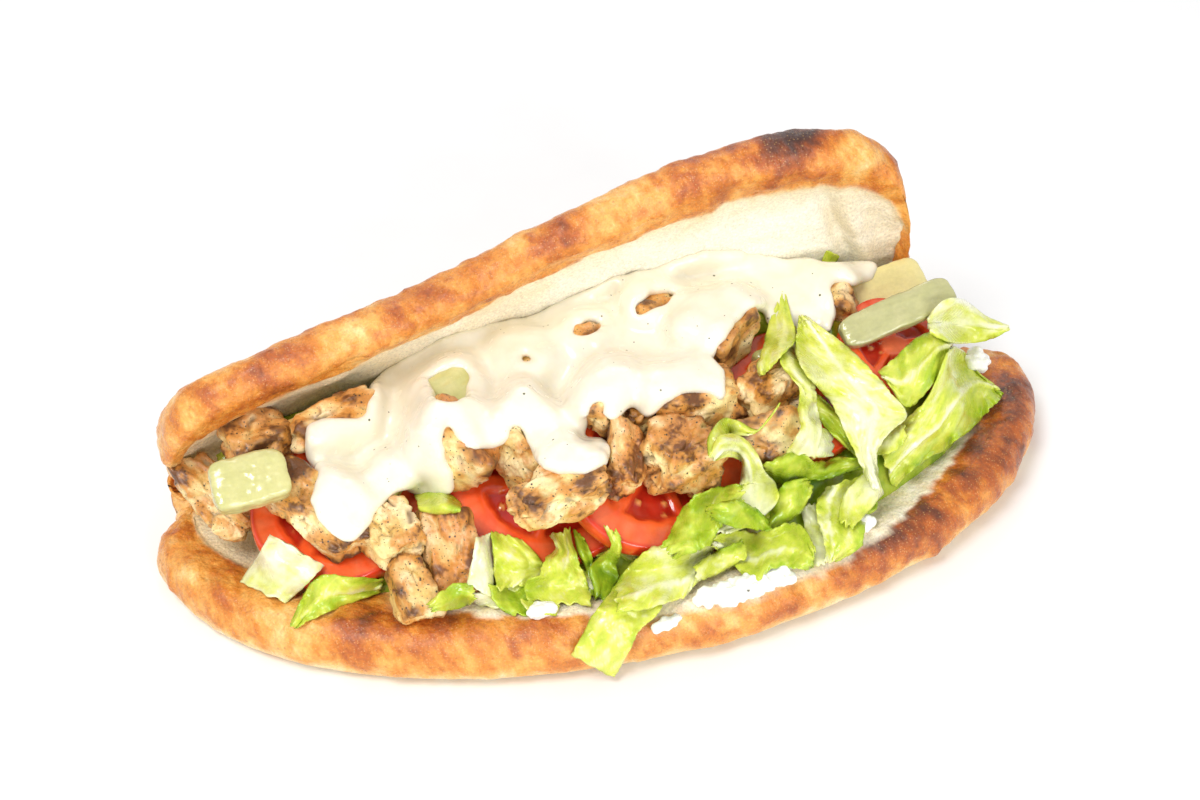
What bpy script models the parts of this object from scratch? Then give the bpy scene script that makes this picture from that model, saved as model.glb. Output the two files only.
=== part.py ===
# Doner kebab sandwich: an oval flatbread folded round chicken, salad and sauce.
# All sizes below are millimetres; the meshes are written in metres with +Z up.
# The origin is on the table under the bread, +X runs along the bread and +Y to the fold.
import math

import bmesh
import bpy
from mathutils import Euler, Matrix, Vector, noise
from mathutils.bvhtree import BVHTree

MM = 0.001
GAP = 0.3

# Bottom half of the bread
BREAD_MID_X = 5.0
BREAD_HALF_LENGTH = 136.0
BREAD_FRONT_REACH = 77.0
BREAD_TIP_Y = 2.0
FLOOR_HALF_THICK = 6.0
RIM_HALF_THICK = 9.0
END_HALF_THICK = 6.6
RIM_BAND = 15.0

# Fold at the back
FOLD_LEFT_X = -121.0
FOLD_RIGHT_X = 117.0
FOLD_END_Y = 12.0
FOLD_BOW = 8.0
FOLD_END_RADIUS = 7.5
FOLD_EXTRA_RADIUS = 5.5

# Top half of the bread, standing up from the fold
TOP_LEFT_X = -127.0
TOP_RIGHT_X = 109.0
TOP_LEFT_HEIGHT = 51.5
TOP_RIGHT_HEIGHT = 83.5
TOP_SQUARENESS = 5.5
TOP_LEAN_DEG = 75.0
TOP_TWIST_DEG_PER_MM = 0.06
TOP_RIM_HALF_THICK = 7.2
TOP_DOME = 4.5

# How finely the bread is divided
BREAD_ROWS = 27
FLOOR_STEPS = 7
FOLD_STEPS = 5
TOP_STEPS = 6
CAP_STEPS = 3
END_STEPS = 2

# Filling
HEAP_FRONT_Z = 16.0
HEAP_RISE = 36.0
HEAP_FRONT_Y = -78.0
HEAP_DEPTH = 75.0
TOMATO_THICK = 6.5
LEAF_THICK = 1.0
PIECE_SIDES = 9


def smooth(t):
    t = min(1.0, max(0.0, t))
    return t * t * (3.0 - 2.0 * t)


def lerp(a, b, t):
    return a + (b - a) * t


def rough(p, seed, size):
    q = Vector(p) / size + Vector((seed * 3.7, seed * 1.9, seed * 5.3))
    return noise.noise(q)


def fold_y(x):
    return FOLD_END_Y + FOLD_BOW * max(0.0, 1.0 - ((x - BREAD_MID_X) / 135.0) ** 2)


def fold_radius(x):
    return FOLD_END_RADIUS + FOLD_EXTRA_RADIUS * max(0.0, 1.0 - ((x - BREAD_MID_X) / 130.0) ** 2)


def top_lean(x):
    return math.radians(TOP_LEAN_DEG + TOP_TWIST_DEG_PER_MM * x)


def top_outline(count=400):
    """Edge of the top half as (x, height up the sheet), left to right."""
    mid = 0.5 * (TOP_LEFT_X + TOP_RIGHT_X)
    half = 0.5 * (TOP_RIGHT_X - TOP_LEFT_X)
    power = 2.0 / TOP_SQUARENESS
    points = []
    for i in range(count + 1):
        a = math.pi * (0.0002 + 0.9996 * i / count)
        c = math.cos(a)
        x = mid - half * math.copysign(abs(c) ** power, c)
        tall = lerp(TOP_LEFT_HEIGHT, TOP_RIGHT_HEIGHT, smooth((x + 72.0) / 165.0))
        points.append((x, tall * math.sin(a) ** power))
    return points


def resample(points, start, end, count):
    run = [0.0]
    for a, b in zip(points, points[1:]):
        run.append(run[-1] + math.hypot(b[0] - a[0], b[1] - a[1]))
    out = []
    k = 0
    for i in range(count):
        want = lerp(start, run[-1] - end, i / (count - 1))
        while k < len(run) - 2 and run[k + 1] < want:
            k += 1
        t = (want - run[k]) / max(1e-9, run[k + 1] - run[k])
        out.append((lerp(points[k][0], points[k + 1][0], t), lerp(points[k][1], points[k + 1][1], t)))
    return out


def bread_row(u, top_edge):
    """One cross-section of the bread: mid-surface points, inward normals and half thicknesses."""
    a = math.pi * (1.0 + u)
    rim = Vector((BREAD_MID_X + BREAD_HALF_LENGTH * math.cos(a),
                  BREAD_TIP_Y + BREAD_FRONT_REACH * math.sin(a), 0.0))
    middle = 0.5 * (FOLD_LEFT_X + FOLD_RIGHT_X)
    hx = middle - 0.5 * (FOLD_RIGHT_X - FOLD_LEFT_X) * math.cos(math.pi * u)
    hinge = Vector((hx, fold_y(hx), 0.0))
    fullness = math.sqrt(math.sin(math.pi * min(1.0, max(0.0, u))))
    rim_half = lerp(END_HALF_THICK, RIM_HALF_THICK, fullness)
    span = (hinge - rim).length
    rows = []
    for i in range(FLOOR_STEPS):
        t = (i / FLOOR_STEPS) ** 1.35
        p = rim.lerp(hinge, t)
        h = lerp(FLOOR_HALF_THICK, rim_half, math.exp(-((t * span) / RIM_BAND) ** 2))
        rows.append((Vector((p.x, p.y, h)), Vector((0.0, 0.0, 1.0)), h))
    bend = math.pi - top_lean(hx)
    radius = fold_radius(hx)
    for i in range(FOLD_STEPS):
        t = bend * i / (FOLD_STEPS - 1)
        p = Vector((hx, hinge.y + radius * math.sin(t), FLOOR_HALF_THICK + radius - radius * math.cos(t)))
        rows.append((p, Vector((0.0, -math.sin(t), math.cos(t))), FLOOR_HALF_THICK))
    foot = rows[-1][0]
    tx, tall = top_edge
    up = Vector((0.0, math.cos(bend), math.sin(bend)))
    inward = Vector((0.0, -math.sin(bend), math.cos(bend)))
    reach = Vector((tx - hx, 0.0, 0.0)) + up * tall
    for i in range(1, TOP_STEPS + 1):
        t = 1.0 - (1.0 - i / TOP_STEPS) ** 1.35
        left = (1.0 - t) * reach.length
        h = lerp(FLOOR_HALF_THICK, lerp(END_HALF_THICK, TOP_RIM_HALF_THICK, fullness),
                 math.exp(-(left / RIM_BAND) ** 2))
        dome = TOP_DOME * fullness * math.sin(math.pi * t ** 0.8)
        rows.append((foot + reach * t - inward * dome, inward, h))
    return rows


def bread_ring(row):
    """Closed loop of points round one cross-section."""
    inner = [p + n * h for p, n, h in row]
    outer = [p - n * h for p, n, h in row]
    ends = []
    for tip, before in ((row[-1], row[-2]), (row[0], row[1])):
        p, n, h = tip
        out = p - before[0]
        out = (out - n * out.dot(n)).normalized()
        arc = [math.pi * (k + 1) / (CAP_STEPS + 1) for k in range(CAP_STEPS)]
        ends.append([p + n * (h * math.cos(a)) + out * (h * math.sin(a)) for a in arc])
    return inner + ends[0] + outer[::-1] + ends[1][::-1]


def bread_mesh():
    edge = resample(top_outline(), 17.0, 17.0, BREAD_ROWS)
    rows = [bread_row(i / (BREAD_ROWS - 1), edge[i]) for i in range(BREAD_ROWS)]
    extended = []
    for side, first, second in ((0, rows[0], rows[1]), (1, rows[-1], rows[-2])):
        extra = []
        for k in range(1, END_STEPS + 1):
            a = 0.5 * math.pi * k / (END_STEPS + 0.35)
            ring = []
            for (p, n, h), (q, _, _) in zip(first, second):
                out = p - q
                out = (out - n * out.dot(n)).normalized()
                ring.append((p + out * (0.95 * h * math.sin(a)), n, h * math.cos(a)))
            extra.append(ring)
        extended.append(extra)
    rows = extended[0][::-1] + rows + extended[1]
    rings = [bread_ring(row) for row in rows]
    count = len(rings[0])
    mesh = bmesh.new()
    grid = []
    for r, ring in enumerate(rings):
        line = []
        for p in ring:
            lift = 0.8 * rough(p, 3, 17.0) + 0.5 * rough(p, 5, 8.0)
            q = p.copy()
            if q.z > 13.0:
                q += Vector((0.3, -0.6, 0.7)) * lift
            line.append(mesh.verts.new(q))
        grid.append(line)
    for a, b in zip(grid, grid[1:]):
        for k in range(count):
            m = (k + 1) % count
            mesh.faces.new((a[k], a[m], b[m], b[k]))
    inner = len(rows[0])
    for line, flip in ((grid[0], False), (grid[-1], True)):
        left = [line[(k - 0) % count] for k in range(inner + 1)]
        right = [line[(inner + CAP_STEPS + inner - 1 - k) % count] for k in range(inner)]
        strips = []
        for k in range(inner - 1):
            strips.append((left[k], left[k + 1], right[k + 1], right[k]))
        top = [line[inner - 1 + k] for k in range(CAP_STEPS + 2)]
        low = [line[(2 * inner + CAP_STEPS - 1 + k) % count] for k in range(CAP_STEPS + 2)]
        strips.append(tuple(top))
        strips.append(tuple(low))
        for face in strips:
            mesh.faces.new(face[::-1] if flip else face)
    bmesh.ops.recalc_face_normals(mesh, faces=mesh.faces)
    return mesh


# Chicken pieces: name, x, y, z of the middle, length, width, height, turn, slope, seed
CHICKEN = (
    ("chicken_left", -114.5, -2.0, 27.0, 30.0, 14.0, 12.0, -62.0, 16.0, 1),
    ("chicken_back_left", -98.5, 5.5, 40.0, 19.0, 14.0, 12.0, 18.0, 0.0, 2),
    ("chicken_hollow", -79.5, 1.5, 40.0, 24.0, 12.0, 12.0, 12.0, 0.0, 3),
    ("chicken_tail", -92.0, -22.5, 30.0, 31.0, 14.0, 13.0, -58.0, 18.0, 4),
    ("chicken_fibre_top", -74.0, -36.5, 29.5, 17.0, 14.0, 12.0, -75.0, 24.0, 5),
    ("chicken_fibre_low", -72.0, -49.0, 24.0, 18.0, 11.0, 11.0, -86.0, 22.0, 6),
    ("chicken_upright", -55.0, -46.0, 26.5, 24.0, 14.0, 14.0, -84.0, 34.0, 7),
    ("chicken_red_side", -46.0, -21.0, 42.0, 21.0, 18.0, 20.0, -35.0, 12.0, 8),
    ("chicken_crescent", -28.5, -28.0, 42.0, 19.0, 14.0, 16.0, -62.0, 18.0, 9),
    ("chicken_big", -22.5, -48.0, 42.5, 26.0, 14.0, 13.0, 14.0, 10.0, 10),
    ("chicken_big_end", -3.5, -42.5, 45.0, 17.0, 9.5, 12.0, 68.0, 14.0, 11),
    ("chicken_mid", -4.5, -22.5, 47.0, 16.0, 13.0, 14.0, 40.0, 8.0, 12),
    ("chicken_small_red", 5.5, -27.5, 46.0, 9.0, 7.0, 10.0, 80.0, 0.0, 13),
    ("chicken_sauced", 20.5, -27.5, 44.0, 26.0, 17.0, 16.0, 8.0, 5.0, 14),
    ("chicken_dark_front", 11.5, -41.5, 36.0, 22.0, 17.0, 18.0, 16.0, 14.0, 15),
    ("chicken_right_top", 46.0, -28.0, 45.0, 20.0, 15.0, 14.0, 30.0, 8.0, 16),
    ("chicken_right_low", 41.5, -43.5, 41.0, 19.0, 14.0, 13.0, -8.0, 8.0, 17),
    ("chicken_back_mid", 41.0, -9.5, 51.0, 23.0, 17.0, 16.0, 34.0, 8.0, 18),
    ("chicken_back_right", 80.0, 0.0, 49.0, 17.0, 12.0, 15.0, 74.0, 10.0, 19),
    ("chicken_wall_mid", 24.5, 7.0, 54.0, 16.0, 12.0, 12.0, 10.0, 0.0, 20),
    ("chicken_wall_left", 1.5, 5.0, 51.0, 14.0, 11.0, 12.0, 30.0, 0.0, 21),
    ("chicken_wall_far", -19.0, 2.0, 48.0, 13.0, 11.0, 11.0, -20.0, 0.0, 22),
)
# Tomato slices: name, x, y, z, radius, slope to the front, slope to the right
TOMATOES = (
    ("tomato_left", -83.0, -18.5, 28.5, 26.0, 20.0, -3.0),
    ("tomato_mid", -23.0, -28.5, 32.0, 29.5, 26.0, -2.0),
    ("tomato_right", 6.0, -37.5, 36.2, 29.5, 25.0, 12.0),
    ("tomato_far", 54.6, -26.0, 38.8, 22.0, 22.0, 6.0),
    ("tomato_end", 90.0, -20.0, 44.5, 17.5, 16.0, 6.0),
)
# Pickles: name, x, y, z, length, width, thickness, turn, slope to the front, slope along
PICKLES = (
    ("pickle_block", -103.0, -20.5, 43.0, 22.0, 15.0, 7.0, 2.0, 30.0, 0.0),
    ("pickle_bit_left", -71.0, -29.0, 36.0, 12.0, 9.0, 5.0, 40.0, 20.0, 0.0),
    ("pickle_pale", -45.0, -3.0, 49.0, 18.0, 13.0, 6.0, 20.0, 20.0, 0.0),
    ("pickle_slice_end", 97.5, 2.5, 47.0, 25.0, 14.0, 6.0, 8.0, 28.0, -4.0),
    ("pickle_slice_long", 91.5, -15.0, 49.0, 38.0, 10.0, 5.0, 8.0, 34.0, -4.0),
    ("pickle_bit_right", 50.0, -17.5, 46.0, 9.0, 7.0, 5.0, 20.0, 20.0, 0.0),
)
# Curd lumps: name, x, y, z, length, width, height, turn, seed
CURDS = (
    ("curd_front", 21.0, -78.5, 24.0, 33.0, 9.0, 7.0, 3.0, 31),
    ("curd_right", 129.0, -4.5, 28.0, 11.0, 9.0, 10.0, 60.0, 32),
    ("curd_chip", -4.5, -82.0, 20.0, 10.0, 4.0, 2.5, 14.0, 33),
    ("curd_bit_left", -37.0, -68.5, 22.0, 9.0, 5.0, 3.5, 10.0, 34),
    ("curd_bit_right", 63.0, -65.0, 24.0, 12.0, 5.0, 4.0, 30.0, 35),
)
# Leaves on the heap: centre line points, half widths, roll, ruffle, seed
HEAP_LEAVES = (
    (((-43.0, -56.0, 19.0), (-44.5, -58.0, 23.0), (-45.0, -67.0, 18.0)), (4.0, 7.5, 7.0), 0.0, 1.2, 1),
    (((-34.0, -59.0, 18.0), (-34.0, -63.0, 24.0), (-34.0, -70.0, 21.0)), (6.0, 9.0, 8.0), 0.0, 1.6, 2),
    (((-19.0, -61.0, 18.0), (-19.0, -66.0, 23.0), (-19.0, -72.0, 21.0)), (4.0, 6.5, 5.0), 0.0, 1.0, 3),
    (((28.0, -57.0, 22.0), (8.0, -70.0, 27.0), (-8.0, -78.0, 23.0), (-18.0, -86.0, 18.0),
      (-23.0, -88.0, 8.0)), (6.0, 9.0, 8.0, 6.5, 5.0), 0.0, 1.0, 4),
    (((2.0, -57.0, 22.0), (14.0, -66.0, 29.5), (30.0, -66.0, 29.0), (45.0, -57.0, 24.0)),
     (6.0, 10.0, 9.0, 5.0), 25.0, 1.6, 5),
    (((24.0, -58.5, 26.0), (35.0, -61.0, 35.0), (38.5, -54.0, 42.5), (29.0, -45.0, 47.5)),
     (4.0, 5.0, 4.5, 3.0), 20.0, 0.6, 6),
    (((31.0, -56.5, 24.0), (20.0, -63.5, 33.0), (11.0, -67.0, 30.5), (3.0, -69.0, 27.0)),
     (6.0, 8.0, 8.0, 5.0), 10.0, 2.2, 7),
    (((51.0, -52.0, 26.0), (54.0, -60.0, 32.0), (54.0, -69.0, 26.0)), (6.0, 9.0, 7.0), 0.0, 1.2, 8),
    (((67.0, -46.0, 26.0), (68.0, -57.0, 31.0), (67.0, -65.0, 26.0)), (6.0, 8.0, 6.0), 0.0, 1.2, 9),
    (((76.0, -43.0, 26.0), (72.0, -38.0, 44.0), (63.0, -24.0, 57.0), (56.0, -12.0, 62.0)),
     (8.0, 11.0, 10.0, 3.0), -12.0, 1.2, 10),
    (((62.0, -50.0, 27.0), (61.0, -40.0, 42.5), (54.0, -25.0, 54.0), (52.0, -11.0, 62.0)),
     (5.0, 7.0, 6.0, 3.0), 15.0, 1.0, 11),
    (((80.0, -44.0, 24.0), (94.0, -42.0, 33.0), (110.0, -31.0, 38.0), (118.0, -23.0, 34.0)),
     (6.0, 12.0, 12.0, 6.0), 25.0, 1.5, 12),
    (((88.0, -42.0, 30.0), (97.0, -33.0, 42.0), (107.0, -26.0, 41.0)), (5.0, 7.0, 4.5), 20.0, 1.6, 13),
    (((111.0, -14.0, 34.0), (116.0, -11.0, 42.0), (122.0, -13.0, 44.0), (130.0, -19.0, 42.0)),
     (3.5, 5.0, 4.5, 1.5), 10.0, 0.5, 14),
    (((112.0, -5.0, 34.0), (116.5, -1.0, 44.0), (120.0, 2.0, 51.0)), (3.0, 4.0, 2.5), 0.0, 0.3, 15),
)
# Leaves lying by themselves: name, then as above
LOOSE_LEAVES = (
    ("leaf_square_rib", ((-113.0, -32.5, 20.0), (-104.0, -36.5, 23.0), (-95.5, -41.0, 21.0)),
     (8.5, 8.5, 8.0), 8.0, 0.3, 21),
    ("leaf_rim_strip",
     ((-81.0, -50.5, 18.0), (-90.0, -51.0, 21.0), (-99.0, -53.0, 20.0), (-108.0, -55.0, 15.0)),
     (5.0, 8.0, 7.0, 3.0), 10.0, 0.6, 22),
    ("leaf_curl", ((-63.0, -33.0, 36.0), (-57.0, -37.0, 38.0), (-51.0, -39.0, 35.0)),
     (3.0, 4.0, 2.5), 20.0, 0.3, 23),
    ("leaf_tip_left", ((-113.0, 9.0, 32.0), (-109.0, 9.0, 34.0), (-105.0, 10.0, 34.0)),
     (1.5, 2.0, 1.5), 20.0, 0.3, 24),
)


def heap_height(x, y):
    rise = lerp(30.0, HEAP_RISE + 8.0, smooth((x + 105.0) / 130.0))
    rise *= lerp(1.0, 0.7, smooth((x - 80.0) / 45.0))
    return HEAP_FRONT_Z + rise * smooth((y - HEAP_FRONT_Y) / HEAP_DEPTH)


def merged_tree(meshes, grow=0.0):
    points = []
    faces = []
    for mesh in meshes:
        mesh.verts.index_update()
        mesh.normal_update()
        first = len(points)
        points += [v.co + v.normal * grow for v in mesh.verts]
        faces += [[first + v.index for v in f.verts] for f in mesh.faces]
    return BVHTree.FromPolygons(points, faces)


def height_at(tree, x, y, start=130.0):
    hit = tree.ray_cast(Vector((x, y, start)), Vector((0.0, 0.0, -1.0)))
    return hit[0].z if hit[0] is not None else None


def highest_near(tree, x, y, reach, start=130.0):
    best = None
    for i in range(9):
        a = i * math.pi / 4.0
        r = 0.0 if i == 8 else reach
        z = height_at(tree, x + r * math.cos(a), y + r * math.sin(a), start)
        if z is not None and (best is None or z > best):
            best = z
    return best


def place(mesh, x, y, z, turn, slope_front, slope_side):
    turned = Euler((math.radians(slope_front), math.radians(slope_side), 0.0), "XYZ").to_matrix()
    spin = Matrix.Rotation(math.radians(turn), 3, "Z")
    full = (turned @ spin).to_4x4()
    full.translation = Vector((x, y, z))
    bmesh.ops.transform(mesh, matrix=full, verts=mesh.verts)
    return mesh


def chunk(length, width, height, seed, cuts=3):
    """Torn meat piece: a rounded many-sided block with uneven faces."""
    mesh = bmesh.new()
    bmesh.ops.create_cube(mesh, size=2.0)
    bmesh.ops.subdivide_edges(mesh, edges=mesh.edges, cuts=cuts, use_grid_fill=True)
    planes = []
    for k in range(PIECE_SIDES):
        a = 2.399963 * k + 1.7 * seed
        z = 1.0 - 2.0 * (k + 0.5) / PIECE_SIDES
        r = math.sqrt(1.0 - z * z)
        far = 0.86 + 0.16 * noise.noise(Vector((seed * 2.3, k * 1.7, 0.4)))
        planes.append((Vector((r * math.cos(a), r * math.sin(a), z)), far))
    power = 9.0
    for v in mesh.verts:
        d = v.co.normalized()
        total = sum((max(0.0, d.dot(n)) / far) ** power for n, far in planes)
        radius = total ** (-1.0 / power) * (1.0 + 0.16 * noise.noise(d * 1.6 + Vector((seed, 0.0, 0.0))))
        v.co = Vector((d.x * radius * length, d.y * radius * width, d.z * radius * height)) * 0.5
        v.co.z += 0.06 * height * math.cos(v.co.x / length * math.pi * 1.6 + seed)
    for axis, size in enumerate((length, width, height)):
        low = min(v.co[axis] for v in mesh.verts)
        high = max(v.co[axis] for v in mesh.verts)
        for v in mesh.verts:
            v.co[axis] = (v.co[axis] - 0.5 * (low + high)) * size / (high - low)
    return mesh


def tomato(radius):
    mesh = bmesh.new()
    bmesh.ops.create_cone(mesh, cap_ends=True, segments=22,
                          radius1=radius, radius2=radius - 1.0, depth=TOMATO_THICK)
    rims = [e for e in mesh.edges if abs(e.verts[0].co.z - e.verts[1].co.z) < 0.01]
    bmesh.ops.bevel(mesh, geom=rims, offset=1.2, segments=1, affect="EDGES")
    return mesh


def pickle_piece(length, width, thick):
    mesh = bmesh.new()
    bmesh.ops.create_cube(mesh, size=1.0)
    bmesh.ops.subdivide_edges(mesh, edges=mesh.edges, cuts=2, use_grid_fill=True)
    for v in mesh.verts:
        corner = 1.0 - 0.22 * (abs(v.co.x) * 2.0) ** 2 * (abs(v.co.y) * 2.0) ** 2
        bow = 0.10 * thick * math.cos(v.co.x * math.pi)
        v.co = Vector((v.co.x * length * corner, v.co.y * width * corner, v.co.z * thick * corner + bow))
    return mesh


def curve_point(points, t):
    """Smooth path through the points, t from 0 to 1."""
    last = len(points) - 1
    s = min(last - 1e-6, max(0.0, t * last))
    k = int(s)
    f = s - k
    p = [points[max(0, min(last, k + j))] for j in (-1, 0, 1, 2)]
    out = []
    for axis in range(len(p[0])):
        a, b, c, d = (q[axis] for q in p)
        out.append(0.5 * (2 * b + (c - a) * f + (2 * a - 5 * b + 4 * c - d) * f * f
                          + (3 * b - a - 3 * c + d) * f ** 3))
    return Vector(out)


def leaf_sheet(line, widths, roll, ruffle, seed, along=6, across=3):
    """Thin wavy sheet laid along a path, before it is given its thickness."""
    mesh = bmesh.new()
    bmesh.ops.create_grid(mesh, x_segments=along, y_segments=across, size=0.5)
    pairs = [(w, 0.0, 0.0) for w in widths]
    for v in mesh.verts:
        t = v.co.x + 0.5
        side = 2.0 * v.co.y
        p = curve_point(line, t)
        ahead = (curve_point(line, min(1.0, t + 0.03)) - curve_point(line, max(0.0, t - 0.03))).normalized()
        half = curve_point(pairs, t)[0]
        across_way = Vector((0.0, 0.0, 1.0)).cross(ahead)
        if across_way.length < 0.2:
            across_way = Vector((1.0, 0.0, 0.0))
        across_way.normalize()
        across_way = Matrix.Rotation(math.radians(roll), 3, ahead) @ across_way
        up = ahead.cross(across_way).normalized()
        edge = half * side * (1.0 + 0.10 * math.sin(9.0 * t + seed))
        wave = ruffle * side * side * math.sin(7.0 * t * len(line) / 2.0 + seed + side)
        v.co = p + across_way * edge + up * (wave - 0.12 * half * side * side)
    return mesh


def drape(mesh, tree, clear):
    """Lifts a sheet where it would run into what lies under it."""
    for v in mesh.verts:
        near = [highest_near(tree, v.co.x, v.co.y, reach, v.co.z + 16.0) for reach in (1.6, 3.4)]
        top = max([z for z in near if z is not None], default=-9.0)
        v.co.z = max(v.co.z, top + clear)
    for _ in range(1):
        new = {}
        for v in mesh.verts:
            near = [e.other_vert(v).co.z for e in v.link_edges]
            new[v] = max(v.co.z, 0.6 * v.co.z + 0.4 * sum(near) / len(near))
        for v, z in new.items():
            v.co.z = z


def thicken(mesh, thick):
    """Turns a sheet into a closed solid with both faces split alike."""
    bmesh.ops.triangulate(mesh, faces=mesh.faces)
    mesh.normal_update()
    mesh.verts.index_update()
    points = [v.co.copy() for v in mesh.verts]
    normals = [v.normal.copy() for v in mesh.verts]
    faces = [[v.index for v in f.verts] for f in mesh.faces]
    rim = [(e.link_loops[0].vert.index, e.link_loops[0].link_loop_next.vert.index)
           for e in mesh.edges if e.is_boundary]
    mesh.free()
    solid = bmesh.new()
    over = [solid.verts.new(p + n * (0.5 * thick)) for p, n in zip(points, normals)]
    under = [solid.verts.new(p - n * (0.5 * thick)) for p, n in zip(points, normals)]
    for face in faces:
        solid.faces.new([over[k] for k in face])
        solid.faces.new([under[k] for k in face[::-1]])
    for a, b in rim:
        solid.faces.new((over[b], over[a], under[a], under[b]))
    return solid


def band_slab(x_from, x_to, columns, lines, front, back, bottom, top, holes=()):
    """Closed solid over a strip of the heap between a front and a back edge."""
    low = []
    high = []
    mesh = bmesh.new()
    for i in range(columns):
        x = lerp(x_from, x_to,
                 0.5 - 0.5 * math.cos(math.pi * i / (columns - 1)) if columns < 20 else i / (columns - 1))
        low.append([])
        high.append([])
        for j in range(lines):
            t = j / (lines - 1)
            y = lerp(front(x), back(x), t)
            edge = i in (0, columns - 1) or j == 0
            z0 = bottom(x, y)
            low[-1].append(mesh.verts.new((x, y, z0)))
            high[-1].append(mesh.verts.new((x, y, max(z0 + 0.8, top(x, y, z0, edge, j == lines - 1)))))
    kept = []
    for i in range(columns - 1):
        for j in range(lines - 1):
            mid = (high[i][j].co + high[i + 1][j + 1].co) * 0.5
            if all(math.hypot(mid.x - x, mid.y - y) > r for x, y, r in holes):
                kept.append((i, j))
    sides = {}
    for i, j in kept:
        corners = ((i, j), (i + 1, j), (i + 1, j + 1), (i, j + 1))
        mesh.faces.new([high[a][b] for a, b in corners])
        mesh.faces.new([low[a][b] for a, b in corners[::-1]])
        for k in range(4):
            sides[(corners[k], corners[(k + 1) % 4])] = True
    for start, end in sides:
        if (end, start) not in sides:
            (a, b), (c, d) = start, end
            mesh.faces.new((low[a][b], low[c][d], high[c][d], high[a][b]))
    bmesh.ops.delete(mesh, geom=[v for v in mesh.verts if not v.link_faces], context="VERTS")
    bmesh.ops.triangulate(mesh, faces=mesh.faces)
    bmesh.ops.recalc_face_normals(mesh, faces=mesh.faces)
    return mesh


def move(mesh, way):
    bmesh.ops.translate(mesh, vec=way, verts=mesh.verts)


def middle(mesh):
    return sum((v.co for v in mesh.verts), Vector()) / len(mesh.verts)


def spread_apart(pieces, fixed, turns=220):
    """Nudges the loose pieces until none of them touches another or the fixed ones."""
    walls = [merged_tree([m]) for m in fixed]
    trees = [merged_tree([m], GAP) for m in pieces]
    for _ in range(turns):
        busy = False
        for i, mesh in enumerate(pieces):
            way = Vector()
            mid = middle(mesh)
            for wall in walls:
                if trees[i].overlap(wall):
                    spot, normal, _, _ = wall.find_nearest(mid)
                    away = mid - spot
                    if away.dot(normal) < 0.0:
                        away = normal
                    way += away.normalized() * 0.3
            for j, other in enumerate(pieces):
                if i != j and (middle(other) - mid).length < 45.0 and trees[i].overlap(trees[j]):
                    way += (mid - middle(other)).normalized() * 0.2
            if way.length > 0.01:
                busy = True
                move(mesh, way)
                trees[i] = merged_tree([mesh], GAP)
        if not busy:
            break


def settle(mesh, others, highest_drop=30.0):
    """Lowers a piece straight down until it all but touches what lies under it."""
    tree = merged_tree(others)
    own = merged_tree([mesh])
    down = Vector((0.0, 0.0, -1.0))
    room = highest_drop
    for v in mesh.verts:
        hit = tree.ray_cast(v.co, down)
        if hit[0] is not None:
            room = min(room, hit[3])
    lows = [min(v.co[k] for v in mesh.verts) for k in range(2)]
    highs = [max(v.co[k] for v in mesh.verts) for k in range(2)]
    for other in others:
        for v in other.verts:
            if lows[0] < v.co.x < highs[0] and lows[1] < v.co.y < highs[1]:
                hit = own.ray_cast(v.co, -down)
                if hit[0] is not None:
                    room = min(room, hit[3])
    move(mesh, Vector((0.0, 0.0, -(room - GAP))))
    for _ in range(60):
        if not merged_tree([mesh], 0.1).overlap(tree):
            break
        move(mesh, Vector((0.0, 0.0, 0.25)))


# Front and back edge of the sauce, left to right
SAUCE_FRONT = (
    (-92.0, -10.0), (-88.0, -32.0), (-82.0, -35.0), (-76.0, -29.0),
    (-66.0, -28.0), (-56.0, -22.0), (-48.0, -15.0),
    (-40.0, -20.0), (-32.0, -27.0), (-24.0, -22.0), (-14.0, -36.0),
    (-4.0, -36.0), (5.0, -24.0), (16.0, -34.0),
    (26.0, -34.0), (34.0, -22.0), (46.0, -10.0), (58.0, -13.0), (70.0, -12.0), (80.0, -5.0), (88.0, -1.0),
)
SAUCE_BACK = (
    (-92.0, -4.0), (-80.0, 2.0), (-64.0, 8.0), (-52.0, 10.0),
    (-36.0, 12.0), (-8.0, 15.0), (25.0, 15.0), (60.0, 14.0),
    (75.0, 11.0), (88.0, 5.0),
)
# Openings in the sauce where a piece shows: x, y, radius
SAUCE_HOLES = ((-45.0, -4.0, 6.5), (-19.5, 0.5, 6.0), (1.5, 3.0, 6.5), (24.0, 5.5, 6.5))


def along_pairs(pairs, x):
    for (a, b), (c, d) in zip(pairs, pairs[1:]):
        if x <= c:
            return lerp(b, d, smooth((x - a) / (c - a)))
    return pairs[-1][1]


def wall_y(tree, x, z):
    """Where the standing half of the bread begins, seen from the front."""
    hit = tree.ray_cast(Vector((x, -5.0, z)), Vector((0.0, 1.0, 0.0)))
    return hit[0].y if hit[0] is not None else 60.0


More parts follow.
